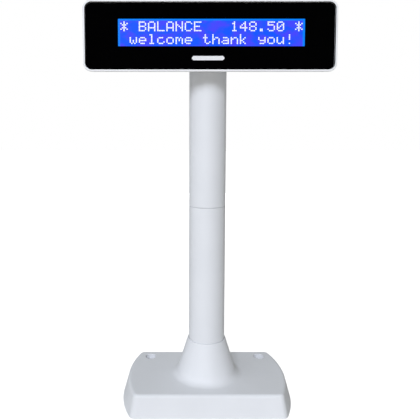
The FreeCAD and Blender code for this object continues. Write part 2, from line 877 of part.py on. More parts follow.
def make_data_socket():
    board_bottom = plate_top + c.washer_height
    board_top = board_bottom + c.socket_board_thickness
    board_mid_y = c.socket_board_back_y - c.socket_board_depth / 2
    board = centred_block("socket_board_blank", (0, board_mid_y, board_bottom),
                          (c.socket_board_width, c.socket_board_depth, c.socket_board_thickness))
    holes = []
    washers = []
    screws = []
    for side, sx in (("right", 1), ("left", -1)):
        x = sx * c.socket_board_screw_x
        y = c.socket_board_screw_y
        holes.append(rod("socket_board_hole_" + side, (x, y, board_bottom), c.clear_hole_radius,
                         c.socket_board_thickness))
        washers.append(ring("board_washer_" + side, (x, y, plate_top), c.washer_radius,
                            c.clear_hole_radius, c.washer_height))
        length = c.socket_board_thickness + c.washer_height + c.plate_thickness
        screws.append(screw("board_screw_" + side, (x, y, board_top), -1,
                            c.narrow_head_radius, c.small_head_height, c.small_shank_radius,
                            length, "Z"))
    keep("socket_board", cut("socket_board_cut", board, holes))
    keep("socket_board_washers", group("washer_group", washers))
    keep("socket_board_screws", group("socket_board_screw_group", screws))

    socket_mid_y = c.socket_back_y - c.socket_depth / 2
    case = centred_block("socket_case", (0, socket_mid_y, board_top),
                         (c.socket_width, c.socket_depth, c.socket_height))
    mouth = centred_block(
        "socket_mouth",
        (0, socket_mid_y + c.socket_wall, board_top + c.socket_wall),
        (c.socket_width - 2 * c.socket_wall, c.socket_depth, c.socket_height - 2 * c.socket_wall))
    tongue = block(
        "socket_tongue",
        (-c.socket_width / 4, c.socket_back_y - c.socket_depth + c.socket_wall / 2,
         board_top + c.socket_wall),
        (c.socket_width / 2, c.socket_tongue_reach, c.socket_tongue_height))
    keep("data_socket", fused("socket_fused", [cut("socket_hollow", case, [mouth]), tongue]))

    header_front_y = c.socket_board_back_y - c.socket_board_depth
    header = centred_block("header_blank", (0, header_front_y + c.header_depth / 2, board_top),
                           (c.header_width, c.header_depth, c.header_height))
    keep("lead_header", header)


def make_stand_lead():
    """One round lead from the socket board into the pole's foot and straight up its axis."""
    run_z = c.lead_rise.number
    bend = c.lead_bend.number
    start_y = (c.socket_board_back_y - c.socket_board_depth).number
    stop_z = c.tilt_height.number - c.head_lead_start.number
    corner = bend * (1 - math.sqrt(0.5))
    first = FreeCAD.Vector(0, start_y, run_z)
    second = FreeCAD.Vector(0, bend, run_z)
    middle = FreeCAD.Vector(0, corner, run_z + corner)
    third = FreeCAD.Vector(0, 0, run_z + bend)
    last = FreeCAD.Vector(0, 0, stop_z)
    edges = [
        Part.LineSegment(first, second).toShape(),
        Part.Arc(second, middle, third).toShape(),
        Part.LineSegment(third, last).toShape(),
    ]
    item = lead_along("display_lead_tube", edges, first, FreeCAD.Vector(0, -1, 0), c.lead_radius)
    keep("display_lead", item)


def lead_along(name, edges, start, direction, radius):
    path = Part.Wire(edges)
    section = Part.Wire([Part.makeCircle(radius.number, start, direction)])
    tube = path.makePipeShell([section], True, True)
    expected = math.pi * radius.number ** 2 * path.Length
    if abs(tube.Volume / expected - 1) > TUBE_VOLUME_TOLERANCE:
        raise RuntimeError(name + ": the tube's volume is not its section times its length")
    item = doc.addObject("Part::Feature", name)
    item.Shape = tube
    return item


# ---------------------------------------------------------------- pole


def pole_section(name, bottom, top, screw_z, cuts):
    inner = c.pole_radius - c.pole_wall
    body = turned_piece(name + "_blank", [
        (inner, bottom),
        (c.pole_radius - c.pole_edge_chamfer, bottom),
        (c.pole_radius, bottom + c.pole_edge_chamfer),
        (c.pole_radius, top - c.pole_edge_chamfer),
        (c.pole_radius - c.pole_edge_chamfer, top),
        (inner, top),
    ])
    seat_y = c.pole_radius - c.coupler_head_sink
    hole = rod(name + "_hole", (0, 0, screw_z), c.clear_hole_radius, c.pole_radius, "Y")
    sink = rod(name + "_sink", (0, seat_y, screw_z), c.coupler_head_radius + c.coupler_fit,
               c.coupler_head_sink + c.overrun, "Y")
    keep(name, cut(name + "_cut", body, [hole, sink] + cuts))


def make_pole():
    foot = plate_top + c.flange_floor
    low_screw = c.pole_joint - c.coupler_screw_reach
    high_screw = c.pole_joint + c.coupler_screw_reach
    pole_section("lower_pole", foot, c.pole_joint, low_screw,
                 [lead_slot("pole_lead_slot", c.pole_radius)])
    pole_section("upper_pole", c.pole_joint + c.pole_gap, c.pole_top, high_screw, [])
    sleeve_radius = c.pole_radius - c.pole_wall - c.coupler_fit
    sleeve = ring("coupler_sleeve", (0, 0, c.pole_joint - c.coupler_half_length), sleeve_radius,
                  sleeve_radius - c.coupler_wall, 2 * c.coupler_half_length)
    holes = []
    screws = []
    seat_y = c.pole_radius - c.coupler_head_sink
    for label, z in (("low", low_screw), ("high", high_screw)):
        holes.append(rod("coupler_hole_" + label, (0, 0, z), c.small_shank_radius,
                         c.pole_radius, "Y"))
        length = seat_y - sleeve_radius + c.coupler_wall + c.screw_spare
        screws.append(screw("coupler_screw_" + label, (0, seat_y, z), -1, c.coupler_head_radius,
                            c.coupler_head_height, c.small_shank_radius, length, "Y"))
    keep("pole_coupler", cut("coupler_cut", sleeve, holes))
    keep("coupler_screws", group("coupler_screw_group", screws))


# ---------------------------------------------------------------- swivel

washer_bottom = c.pole_top + c.bush_flange
knuckle_bottom = washer_bottom + c.friction_washer_height + c.swivel_play
knuckle_top = knuckle_bottom + c.knuckle_thickness
bush_bottom = c.pole_top - c.bush_depth
ring_bottom = bush_bottom - c.ring_drop


def make_swivel():
    bore = c.spindle_radius + c.bush_bore_fit
    plug_radius = c.pole_radius - c.pole_wall - c.slip_fit
    keep("swivel_bush", turned_piece("bush_turned_piece", [
        (bore, bush_bottom),
        (plug_radius, bush_bottom),
        (plug_radius, c.pole_top),
        (c.pole_radius, c.pole_top),
        (c.pole_radius, c.pole_top + c.bush_flange),
        (bore, c.pole_top + c.bush_flange),
    ]))
    keep("swivel_friction_washer",
         ring("friction_ring", (0, 0, washer_bottom), c.pole_radius - c.friction_washer_inset,
              c.spindle_radius + c.friction_washer_gap, c.friction_washer_height))
    make_knuckle()
    disc = ring("clip_disc", (0, 0, ring_bottom), c.ring_outer_radius,
                c.spindle_radius - c.ring_groove_depth, c.ring_thickness)
    mouth = block("clip_mouth", (-c.ring_mouth / 2, 0, ring_bottom),
                  (c.ring_mouth, c.ring_outer_radius, c.ring_thickness))
    keep("swivel_retaining_clip", cut("clip_cut", disc, [mouth]))


def make_knuckle():
    groove_bottom = ring_bottom - c.slip_fit
    groove_top = ring_bottom + c.ring_thickness + c.slip_fit
    groove = c.spindle_radius - c.ring_groove_depth
    body = turned_piece("knuckle_turned_piece", [
        (c.spindle_bore_radius, bush_bottom - c.spindle_tail),
        (c.spindle_radius, bush_bottom - c.spindle_tail),
        (c.spindle_radius, groove_bottom),
        (groove, groove_bottom),
        (groove, groove_top),
        (c.spindle_radius, groove_top),
        (c.spindle_radius, knuckle_bottom),
        (c.pole_radius, knuckle_bottom),
        (c.pole_radius, knuckle_top),
        (c.spindle_bore_radius, knuckle_top),
    ])
    pieces = [body]
    for side, low in (("right", c.ear_inner_x), ("left", -c.ear_inner_x - c.ear_thickness)):
        foot_z = knuckle_top - c.overrun
        pieces.append(block("ear_web_" + side, (low, -c.ear_radius, foot_z),
                            (c.ear_thickness, 2 * c.ear_radius, c.tilt_height - foot_z)))
        pieces.append(rod("ear_round_" + side, (low, 0, c.tilt_height), c.ear_radius,
                          c.ear_thickness, "X"))
    bore = rod("ear_bore", (-c.pole_radius, 0, c.tilt_height), c.tilt_bolt_radius + c.hinge_play,
               2 * c.pole_radius, "X")
    keep("swivel_knuckle", cut("knuckle_cut", fused("knuckle_fused", pieces), [bore]))


# ---------------------------------------------------------------- tilt hinge, about its own axis

washer_inner_x = c.ear_inner_x + c.ear_thickness + c.hinge_play
cheek_inner_x = washer_inner_x + c.tilt_washer
cheek_outer_x = cheek_inner_x + c.cheek_thickness


def make_hinge_bracket():
    top = c.bracket_underside + c.bracket_thickness
    pieces = [block("bracket_base", (-c.bracket_half_width, -c.bracket_half_depth, c.bracket_underside),
                    (2 * c.bracket_half_width, 2 * c.bracket_half_depth, c.bracket_thickness))]
    for side, low in (("right", cheek_inner_x), ("left", -cheek_outer_x)):
        pieces.append(block("cheek_web_" + side, (low, -c.ear_radius, 0),
                            (c.cheek_thickness, 2 * c.ear_radius, top)))
        pieces.append(rod("cheek_round_" + side, (low, 0, 0), c.ear_radius, c.cheek_thickness, "X"))
    cuts = [
        rod("bracket_lead_hole", (0, 0, c.bracket_underside), c.recess_lead_radius,
            c.bracket_thickness),
        rod("cheek_bore", (-c.bracket_half_width, 0, 0), c.tilt_bolt_radius,
            2 * c.bracket_half_width, "X"),
    ]
    screws = []
    for index, (sx, sy) in enumerate(MIRRORED):
        seat = (sx * c.bracket_screw_x, sy * c.bracket_screw_y, c.bracket_underside)
        cuts.append(rod("bracket_hole_%d" % index, seat, c.clear_hole_radius, c.bracket_thickness))
        length = (c.bracket_thickness + c.recess_ceiling + c.recess_boss_height
                  - c.screw_spare)
        screws.append(screw("bracket_screw_%d" % index, seat, 1, c.bracket_head_radius,
                            c.bracket_head_height, c.case_shank_radius, length, "Z"))
    keep_in_head("hinge_bracket", cut("bracket_cut", fused("bracket_fused", pieces), cuts))
    keep_in_head("hinge_bracket_screws", group("bracket_screw_group", screws))


def hexagon(name, start_x, radius, length, hole_radius):
    body = new_body(name)
    sketch = sketch_on(body, "YZ_Plane", name + "_outline", start_x)
    points = []
    for index in range(6):
        turn = math.radians(60 * index)
        points.append((radius * round(math.cos(turn), 6), radius * round(math.sin(turn), 6)))
    polygon(sketch, points)
    pad(body, sketch, length, name + "_pad")
    hole = rod(name + "_hole", (start_x, 0, 0), hole_radius, length, "X")
    return cut(name + "_cut", body, [hole])


def make_tilt_fasteners():
    washers = []
    bolts = []
    nuts = []
    nut_outer_x = c.ear_inner_x - c.tilt_nut_gap
    shank = cheek_outer_x - nut_outer_x + c.tilt_nut
    for side, sign in (("right", 1), ("left", -1)):
        washer_low = washer_inner_x if sign > 0 else -cheek_inner_x
        washers.append(ring("tilt_washer_" + side, (washer_low, 0, 0),
                            c.ear_radius - c.tilt_washer_inset, c.tilt_bolt_radius,
                            c.tilt_washer, "X"))
        bolts.append(screw("tilt_bolt_" + side, (sign * cheek_outer_x, 0, 0), -sign,
                           c.tilt_bolt_head_radius, c.tilt_bolt_head, c.tilt_bolt_radius, shank, "X"))
        nut_low = nut_outer_x - c.tilt_nut if sign > 0 else -nut_outer_x
        nuts.append(hexagon("tilt_nut_" + side, nut_low, c.tilt_nut_radius, c.tilt_nut,
                            c.tilt_bolt_radius))
    keep_in_head("tilt_friction_washers", group("tilt_washer_group", washers))
    keep_in_head("tilt_bolts", group("tilt_bolt_group", bolts))
    keep_in_head("tilt_nuts", group("tilt_nut_group", nuts))


# ---------------------------------------------------------------- head housing

ledge_front_y = c.head_front_y + c.lens_pocket_depth
ledge_back_y = ledge_front_y + c.ledge_thickness
glass_front_y = c.module_front_y + c.bezel_sheet
backlight_front_y = glass_front_y + c.cell_thickness
module_board_front_y = backlight_front_y + c.backlight_thickness
module_board_back_y = module_board_front_y + c.board_thickness


def make_front_housing():
    shell = tapered("housing_envelope",
                    (c.head_width, c.head_height, c.head_corner, c.head_front_y),
                    (c.parting_width, c.parting_height, c.parting_corner, c.head_parting_y),
                    c.head_mid_z)
    doc.recompute()
    dressed(shell, shell.Tip, "PartDesign::Fillet", "housing_front_round", "Radius",
            c.front_edge_round, lambda edge: lies_at_depth(edge, c.head_front_y.number))
    lens_pocket = slab("lens_pocket", c.lens_width + 2 * c.lens_gap, c.lens_height + 2 * c.lens_gap,
                       c.lens_corner + c.lens_gap, ledge_front_y,
                       c.lens_pocket_depth + c.overrun, 0, c.head_mid_z)
    two_walls = 2 * (c.head_wall + c.housing_draft)
    inside_back_y = c.head_parting_y + c.overrun
    inside = slab("housing_inside", c.parting_width - two_walls, c.parting_height - two_walls,
                  c.parting_corner - c.head_wall, inside_back_y, inside_back_y - ledge_back_y,
                  0, c.head_mid_z)
    bosses = []
    pilots = []
    for index, (sx, sz) in enumerate(MIRRORED):
        at = (c.window_x + sx * c.module_screw_x, ledge_back_y, c.window_z + sz * c.module_screw_z)
        length = module_board_front_y - ledge_back_y
        bosses.append(rod("module_boss_%d" % index, at, c.module_boss_radius, length, "Y"))
        pilots.append(rod("module_pilot_%d" % index, at, c.module_shank_radius, length, "Y"))
    for side, sx in (("right", 1), ("left", -1)):
        at = (sx * c.case_screw_x, ledge_back_y, c.case_screw_z)
        length = c.head_parting_y - ledge_back_y
        bosses.append(rod("case_boss_" + side, at, c.case_boss_radius, length, "Y"))
        pilots.append(rod("case_pilot_" + side, at, c.case_shank_radius, length, "Y"))
    hollow = cut("housing_hollow", inside, bosses)
    opening = slab("bezel_opening", c.bezel_width + 2 * c.bezel_opening_gap,
                   c.bezel_height + 2 * c.bezel_opening_gap, c.bezel_opening_corner,
                   ledge_back_y + c.overrun, c.ledge_thickness + 2 * c.overrun,
                   c.window_x, c.window_z)
    tools = [lens_pocket, hollow, opening] + pilots
    keep_in_head("front_housing", cut("front_housing_cut", shell, tools))


def make_rear_cover():
    shell = tapered("cover_envelope",
                    (c.parting_width, c.parting_height, c.parting_corner, c.head_parting_y),
                    (c.back_width, c.back_height, c.back_corner, c.head_back_y),
                    c.head_mid_z)
    doc.recompute()
    dressed(shell, shell.Tip, "PartDesign::Fillet", "cover_back_round", "Radius",
            c.back_edge_round, lambda edge: lies_at_depth(edge, c.head_back_y.number))
    two_walls = 2 * c.head_wall
    narrowing = (c.parting_width - c.back_width) / (c.head_back_y - c.head_parting_y)
    lowering = (c.parting_height - c.back_height) / (c.head_back_y - c.head_parting_y)
    hollow_back_y = c.head_back_y - c.head_wall
    cavity = tapered(
        "cover_cavity",
        (c.parting_width - two_walls, c.parting_height - two_walls, c.parting_corner - c.head_wall,
         c.head_parting_y),
        (c.back_width + narrowing * c.head_wall - two_walls,
         c.back_height + lowering * c.head_wall - two_walls, c.back_corner - c.head_wall,
         hollow_back_y),
        c.head_mid_z)
    deep = c.head_back_y - c.head_parting_y
    outer_half = c.recess_half_width + c.recess_wall
    high_front = c.recess_high_front_y - c.recess_wall
    low_front = c.recess_low_front_y - c.recess_wall
    floor_z = -c.head_height
    step_top = c.recess_step_z + c.recess_wall
    keeps = [
        block("recess_low_block", (-outer_half, low_front, floor_z),
              (2 * outer_half, deep, step_top - floor_z)),
        block("recess_high_block", (-outer_half, high_front, floor_z),
              (2 * outer_half, deep, c.recess_ceiling_z + c.recess_ceiling - floor_z)),
    ]
    cuts = [
        block("recess_low", (-c.recess_half_width, c.recess_low_front_y, floor_z),
              (2 * c.recess_half_width, deep, c.recess_step_z - floor_z)),
        block("recess_high", (-c.recess_half_width, c.recess_high_front_y, floor_z),
              (2 * c.recess_half_width, deep, c.recess_ceiling_z - floor_z)),
        rod("recess_lead_hole", (0, 0, c.recess_ceiling_z), c.recess_lead_radius,
            c.recess_ceiling),
    ]
    for index, (sx, sy) in enumerate(MIRRORED):
        at = (sx * c.bracket_screw_x, sy * c.bracket_screw_y, c.recess_ceiling_z)
        height = c.recess_ceiling + c.recess_boss_height
        keeps.append(rod("recess_boss_%d" % index, at, c.recess_boss_radius, height))
        cuts.append(rod("recess_pilot_%d" % index, at, c.case_shank_radius,
                        height - c.screw_spare))
    for side, sx in (("right", 1), ("left", -1)):
        at = (sx * c.case_screw_x, c.head_parting_y, c.case_screw_z)
        keeps.append(rod("case_well_block_" + side, at, c.case_well_radius + c.case_well_wall,
                         deep, "Y"))
        cuts.append(rod("case_well_hole_" + side, at, c.clear_hole_radius, deep, "Y"))
        floor = (sx * c.case_screw_x, c.head_parting_y + c.case_well_floor, c.case_screw_z)
        cuts.append(rod("case_well_" + side, floor, c.case_well_radius, deep, "Y"))
    hollow = cut("rear_hollow", cavity, keeps)
    keep_in_head("rear_cover", cut("rear_cover_cut", shell, [hollow] + cuts))


def make_case_screws():
    screws = []
    for side, sx in (("right", 1), ("left", -1)):
        seat = (sx * c.case_screw_x, c.head_parting_y + c.case_well_floor, c.case_screw_z)
        screws.append(screw("case_screw_" + side, seat, -1, c.small_head_radius,
                            c.tall_head_height, c.case_shank_radius, c.case_shank_length, "Y"))
    keep_in_head("housing_screws", group("case_screw_group", screws))


def make_lens_and_mask():
    back_y = c.head_front_y + c.lens_sink + c.lens_thickness
    lens = slab("lens_blank", c.lens_width, c.lens_height, c.lens_corner, back_y, c.lens_thickness,
                0, c.head_mid_z)
    keep_in_head("front_lens", lens)
    film = slab("mask_blank", c.lens_width - 2 * c.mask_margin, c.lens_height - 2 * c.mask_margin,
                c.lens_corner - c.mask_margin, back_y + c.mask_thickness, c.mask_thickness,
                0, c.head_mid_z)
    window = slab("mask_window", c.window_width, c.window_height, c.window_corner,
                  back_y + c.mask_thickness + c.overrun, c.mask_thickness + 2 * c.overrun,
                  c.window_x, c.window_z)
    keep_in_head("lens_mask", cut("mask_cut", film, [window]))


# ---------------------------------------------------------------- character module


def upright(name, width, height, front_y, thickness, mid_x=None, mid_z=None):
    """A square-edged upright plate centred on the window unless told otherwise."""
    mid_x = c.window_x if mid_x is None else as_size(mid_x)
    mid_z = c.window_z if mid_z is None else as_size(mid_z)
    low = (mid_x - as_size(width) / 2, front_y, mid_z - as_size(height) / 2)
    return block(name, low, (width, thickness, height))


def make_module():
    bezel_depth = module_board_front_y - c.module_front_y
    case = upright("bezel_case", c.bezel_width, c.bezel_height, c.module_front_y, bezel_depth)
    inside = upright("bezel_inside", c.bezel_width - 2 * c.bezel_sheet,
                     c.bezel_height - 2 * c.bezel_sheet, glass_front_y, bezel_depth)
    window = upright("bezel_window", c.bezel_window_width, c.bezel_window_height,
                     c.module_front_y - c.overrun, bezel_depth)
    keep_in_head("lcd_bezel", cut("bezel_cut", case, [inside, window]))
    keep_in_head("lcd_glass", upright("glass_blank", c.cell_width, c.cell_height, glass_front_y,
                                      c.cell_thickness))
    keep_in_head("lcd_backlight", upright("backlight_blank", c.cell_width, c.backlight_height,
                                          backlight_front_y, c.backlight_thickness))
    strips = []
    for label, sz in (("top", 1), ("bottom", -1)):
        strips.append(upright("strip_" + label, c.strip_length, c.strip_width, backlight_front_y,
                              c.backlight_thickness, None, c.window_z + sz * c.strip_offset))
    keep_in_head("lcd_contact_strips", group("strip_group", strips))

    board = upright("module_board_blank", c.module_board_width, c.module_board_height,
                    module_board_front_y, c.board_thickness)
    holes = []
    screws = []
    for index, (sx, sz) in enumerate(MIRRORED):
        x = c.window_x + sx * c.module_screw_x
        z = c.window_z + sz * c.module_screw_z
        holes.append(rod("module_hole_%d" % index, (x, module_board_front_y, z),
                         c.module_shank_radius + c.board_hole_gap, c.board_thickness, "Y"))
        screws.append(screw("module_screw_%d" % index, (x, module_board_back_y, z), -1,
                            c.module_head_radius, c.module_head_height, c.module_shank_radius,
                            c.module_shank_length, "Y"))
    keep_in_head("lcd_board", cut("module_board_cut", board, holes))
    keep_in_head("lcd_board_screws", group("module_screw_group", screws))

    blobs = []
    places = (-c.blob_outer_x, -c.blob_inner_x, c.blob_inner_x + c.blob_right_shift,
              c.blob_outer_x + c.blob_right_shift)
    for index, x in enumerate(places):
        body = new_body("blob_%d" % index)
        sketch = sketch_on(body, "XZ_Plane", "blob_outline_%d" % index,
                           -(module_board_back_y + c.blob_height))
        middle = vector(x, c.window_z)
        sketch.addGeometry(Part.Circle(middle, FreeCAD.Vector(0, 0, 1), c.blob_radius.number))
        hold_radius(sketch, 0, c.blob_radius)
        pin_point(sketch, 0, 3, x, c.window_z)
        drop = pad(body, sketch, c.blob_height, "blob_pad_%d" % index)
        back = (module_board_back_y + c.blob_height).number
        dressed(body, drop, "PartDesign::Fillet", "blob_round_%d" % index, "Radius",
                c.blob_edge_round, lambda edge, back=back: lies_at_depth(edge, back))
        blobs.append(body)
    keep_in_head("lcd_driver_chips", group("blob_group", blobs))


# ---------------------------------------------------------------- main board

main_front_y = module_board_back_y + c.standoff_length
main_back_y = main_front_y + c.board_thickness


def make_main_board():
    low = (c.main_left_x, main_front_y, c.main_bottom_z)
    board = block("main_blank", low, (c.main_width, c.board_thickness, c.main_height))
    holes = []
    posts = []
    screws = []
    left = c.main_left_x + c.standoff_inset_x
    right = c.main_left_x + c.main_width - c.standoff_inset_x
    low_z = c.main_bottom_z + c.standoff_inset_z
    for index, (x, z) in enumerate(((left, low_z), (right, low_z), (left, c.standoff_top_z),
                                    (right, c.standoff_top_z))):
        holes.append(rod("main_hole_%d" % index, (x, main_front_y, z),
                         c.module_shank_radius + c.board_hole_gap, c.board_thickness, "Y"))
        posts.append(ring("standoff_%d" % index, (x, module_board_back_y, z), c.standoff_radius,
                          c.module_shank_radius, c.standoff_length, "Y"))
        screws.append(screw("main_screw_%d" % index, (x, main_back_y, z), -1, c.module_head_radius,
                            c.module_head_height, c.module_shank_radius,
                            c.module_shank_length, "Y"))
    hole_side = c.pin_side + c.pin_hole_gap
    for index in range(PIN_COUNT):
        x = c.pin_first_x + index * c.pin_pitch
        holes.append(upright("pin_hole_%d" % index, hole_side, hole_side, main_front_y,
                             c.board_thickness, x, c.pin_row_z))
    keep_in_head("main_board", cut("main_cut", board, holes))
    keep_in_head("board_standoffs", group("standoff_group", posts))
    keep_in_head("main_board_screws", group("main_screw_group", screws))


def make_header_pins():
    span = PIN_COUNT * c.pin_pitch
    middle = c.pin_first_x + (PIN_COUNT - 1) / 2 * c.pin_pitch
    pieces = [upright("pin_strip", span, c.pin_strip_height, module_board_back_y,
                      c.pin_strip_height, middle, c.pin_row_z)]
    length = c.standoff_length + c.board_thickness + c.pin_tail
    for index in range(PIN_COUNT):
        x = c.pin_first_x + index * c.pin_pitch
        pieces.append(upright("pin_%d" % index, c.pin_side, c.pin_side, module_board_back_y,
                              length, x, c.pin_row_z))
    keep_in_head("board_header", fused("header_fused", pieces))


def make_main_components():
    def chip(name, width, height, thickness, x, z):
        return upright(name, width, height, main_back_y, thickness, x, z)

    chips = [
        chip("controller", c.chip_side, c.chip_side, c.chip_thickness, c.chip_x, c.chip_z),
        chip("line_driver", c.driver_length, c.driver_width, c.driver_thickness, c.driver_x,
             c.driver_z),
        chip("regulator", c.regulator_side, c.regulator_side, c.regulator_thickness,
             c.regulator_x, c.regulator_z),
    ]
    keep_in_head("main_board_chips", group("chip_group", chips))
    cans = []
    for index in range(2):
        x = c.capacitor_first_x + index * c.capacitor_pitch
        cans.append(rod("can_%d" % index, (x, main_back_y, c.capacitor_z), c.capacitor_radius,
                        c.capacitor_height, "Y"))
    keep_in_head("main_board_capacitors", group("can_group", cans))


def make_head_lead():
    wall = c.lead_socket_wall
    case = block("lead_socket_case",
                 (c.lead_socket_x - c.lead_socket_width / 2, main_back_y, c.lead_socket_bottom_z),
                 (c.lead_socket_width, c.lead_socket_depth, c.lead_socket_height))
    mouth = block("lead_socket_mouth",
                  (c.lead_socket_x - c.lead_socket_width / 2 + wall, main_back_y + wall,
                   c.lead_socket_bottom_z + wall),
                  (c.lead_socket_width - 2 * wall, c.lead_socket_depth - 2 * wall,
                   c.lead_socket_height))
    keep_in_head("lead_socket", cut("lead_socket_cut", case, [mouth]))
    gap = wall + c.lead_plug_gap
    plug_bottom = c.lead_socket_bottom_z + gap
    plug = block("lead_plug_blank",
                 (c.lead_socket_x - c.lead_socket_width / 2 + gap, main_back_y + gap, plug_bottom),
                 (c.lead_socket_width - 2 * gap, c.lead_socket_depth - 2 * gap,
                  c.lead_plug_height))
    keep_in_head("lead_plug", plug)

    x = c.lead_socket_x.number
    y = (main_back_y + c.lead_socket_depth / 2).number
    plug_top = (plug_bottom + c.lead_plug_height).number
    route = [
        FreeCAD.Vector(0, 0, c.head_lead_start.number),
        FreeCAD.Vector(0, 0, c.head_lead_top_z.number),
        FreeCAD.Vector(c.head_lead_turn_x.number, 0, c.head_lead_top_z.number),
        FreeCAD.Vector(x, y, c.head_lead_top_z.number),
        FreeCAD.Vector(x, y, plug_top),
    ]
    edges = rounded_route(route, c.head_lead_bend.number)
    item = lead_along("head_lead_tube", edges, route[0], FreeCAD.Vector(0, 0, 1), c.head_lead_radius)
    keep_in_head("head_lead", item)


def rounded_route(route, bend):
    """Straight runs between the route's points, joined by tangent arcs at its inner points."""
    edges = []
    start = route[0]
    for index in range(1, len(route) - 1):
        corner = route[index]
        arriving = (corner - route[index - 1]).normalize()
        leaving = (route[index + 1] - corner).normalize()
        turn = arriving.getAngle(leaving)
        reach = bend * math.tan(turn / 2)
        begin = corner - arriving * reach
        end = corner + leaving * reach
        inwards = (leaving - arriving).normalize()
        middle = corner + inwards * (bend / math.cos(turn / 2) - bend)
        edges.append(Part.LineSegment(start, begin).toShape())
        edges.append(Part.Arc(begin, middle, end).toShape())
        start = end
    edges.append(Part.LineSegment(start, route[-1]).toShape())
    return edges


# ---------------------------------------------------------------- build, check and write


def build():
    make_base_cover()
    make_base_plate()
    make_feet_and_base_screws()
    make_ballast()
    make_pole_flange()
    make_data_socket()
    make_stand_lead()
    make_pole()
    make_swivel()
    make_hinge_bracket()
    make_tilt_fasteners()
    make_front_housing()
    make_rear_cover()
    make_case_screws()
    make_lens_and_mask()
    make_module()
    make_main_board()
    make_header_pins()
    make_main_components()
    make_head_lead()
    doc.recompute()


def check():
    faults = []
    for item in doc.Objects:
        if "Invalid" in item.State or "Error" in item.State:
            faults.append(item.Name + " is in state " + str(item.State))
    for name, item in nodes.items():
        shape = item.Shape
        if shape.isNull() or not shape.isValid() or not shape.Solids:
            faults.append(name + " has no sound solid")
    if faults:
        raise RuntimeError("; ".join(faults))


def write():
    os.makedirs("parts", exist_ok=True)
    for name, item in nodes.items():
        item.Shape.exportStep(os.path.join("parts", name + ".step"))
        box = item.Shape.BoundBox
        print("%-26s solids %2d  volume %10.1f  x %7.2f %7.2f  y %7.2f %7.2f  z %7.2f %7.2f" % (
            name, len(item.Shape.Solids), item.Shape.Volume,
            box.XMin, box.XMax, box.YMin, box.YMax, box.ZMin, box.ZMax))


build()
check()
write()
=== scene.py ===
import json
import math

import bmesh
import bpy
from mathutils import Matrix, Vector


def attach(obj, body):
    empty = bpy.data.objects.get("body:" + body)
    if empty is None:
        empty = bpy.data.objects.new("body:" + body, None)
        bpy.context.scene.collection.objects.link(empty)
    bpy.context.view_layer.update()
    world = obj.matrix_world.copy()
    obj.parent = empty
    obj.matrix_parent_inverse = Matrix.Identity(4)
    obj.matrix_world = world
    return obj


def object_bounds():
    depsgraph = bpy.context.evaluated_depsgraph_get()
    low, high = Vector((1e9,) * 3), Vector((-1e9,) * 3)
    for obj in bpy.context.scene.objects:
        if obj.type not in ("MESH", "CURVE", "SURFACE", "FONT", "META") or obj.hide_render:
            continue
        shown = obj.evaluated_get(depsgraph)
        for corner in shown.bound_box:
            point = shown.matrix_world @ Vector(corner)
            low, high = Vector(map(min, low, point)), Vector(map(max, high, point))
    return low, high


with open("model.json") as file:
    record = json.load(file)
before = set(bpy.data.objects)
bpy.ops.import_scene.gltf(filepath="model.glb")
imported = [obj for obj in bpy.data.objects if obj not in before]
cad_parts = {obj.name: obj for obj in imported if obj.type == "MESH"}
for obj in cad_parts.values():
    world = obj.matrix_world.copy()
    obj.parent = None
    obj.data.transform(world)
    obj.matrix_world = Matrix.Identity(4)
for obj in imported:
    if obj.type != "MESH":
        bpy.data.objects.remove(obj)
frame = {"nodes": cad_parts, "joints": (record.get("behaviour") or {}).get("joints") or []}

# Customer pole display, seen by the customer. +X is to the right, +Y away from the customer and
# +Z up; everything is in metres and the counter is at Z = 0.

MM = 0.001
scene = bpy.context.scene
cad_low, cad_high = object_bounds()

scene.view_settings.view_transform = "Standard"


# ---------------------------------------------------------------- camera

CAMERA_PLACE = Vector((-0.02285, -0.4321, 0.2382))
CAMERA_PITCH = math.radians(-6.04)
CAMERA_LENS = 42.16
CAMERA_SHIFT = (0.068, -0.06)


def make_camera():
    data = bpy.data.cameras.new("camera")
    data.lens = CAMERA_LENS
    data.shift_x, data.shift_y = CAMERA_SHIFT
    camera = bpy.data.objects.new("camera", data)
    aim = Matrix.Rotation(math.pi / 2 + CAMERA_PITCH, 4, "X")
    camera.matrix_world = Matrix.Translation(CAMERA_PLACE) @ aim
    scene.collection.objects.link(camera)
    scene.camera = camera


# ---------------------------------------------------------------- mesh helpers


def new_piece(name, mesh, material):
    piece = bpy.data.objects.new(name, mesh)
    scene.collection.objects.link(piece)
    mesh.materials.append(material)
    return piece


def flat_square(name, half_side, z):
    mesh = bpy.data.meshes.new(name)
    signs = ((-1, -1), (1, -1), (1, 1), (-1, 1))
    mesh.from_pydata([(sx * half_side, sy * half_side, z) for sx, sy in signs], [], [(0, 1, 2, 3)])
    return mesh


# ---------------------------------------------------------------- shader building


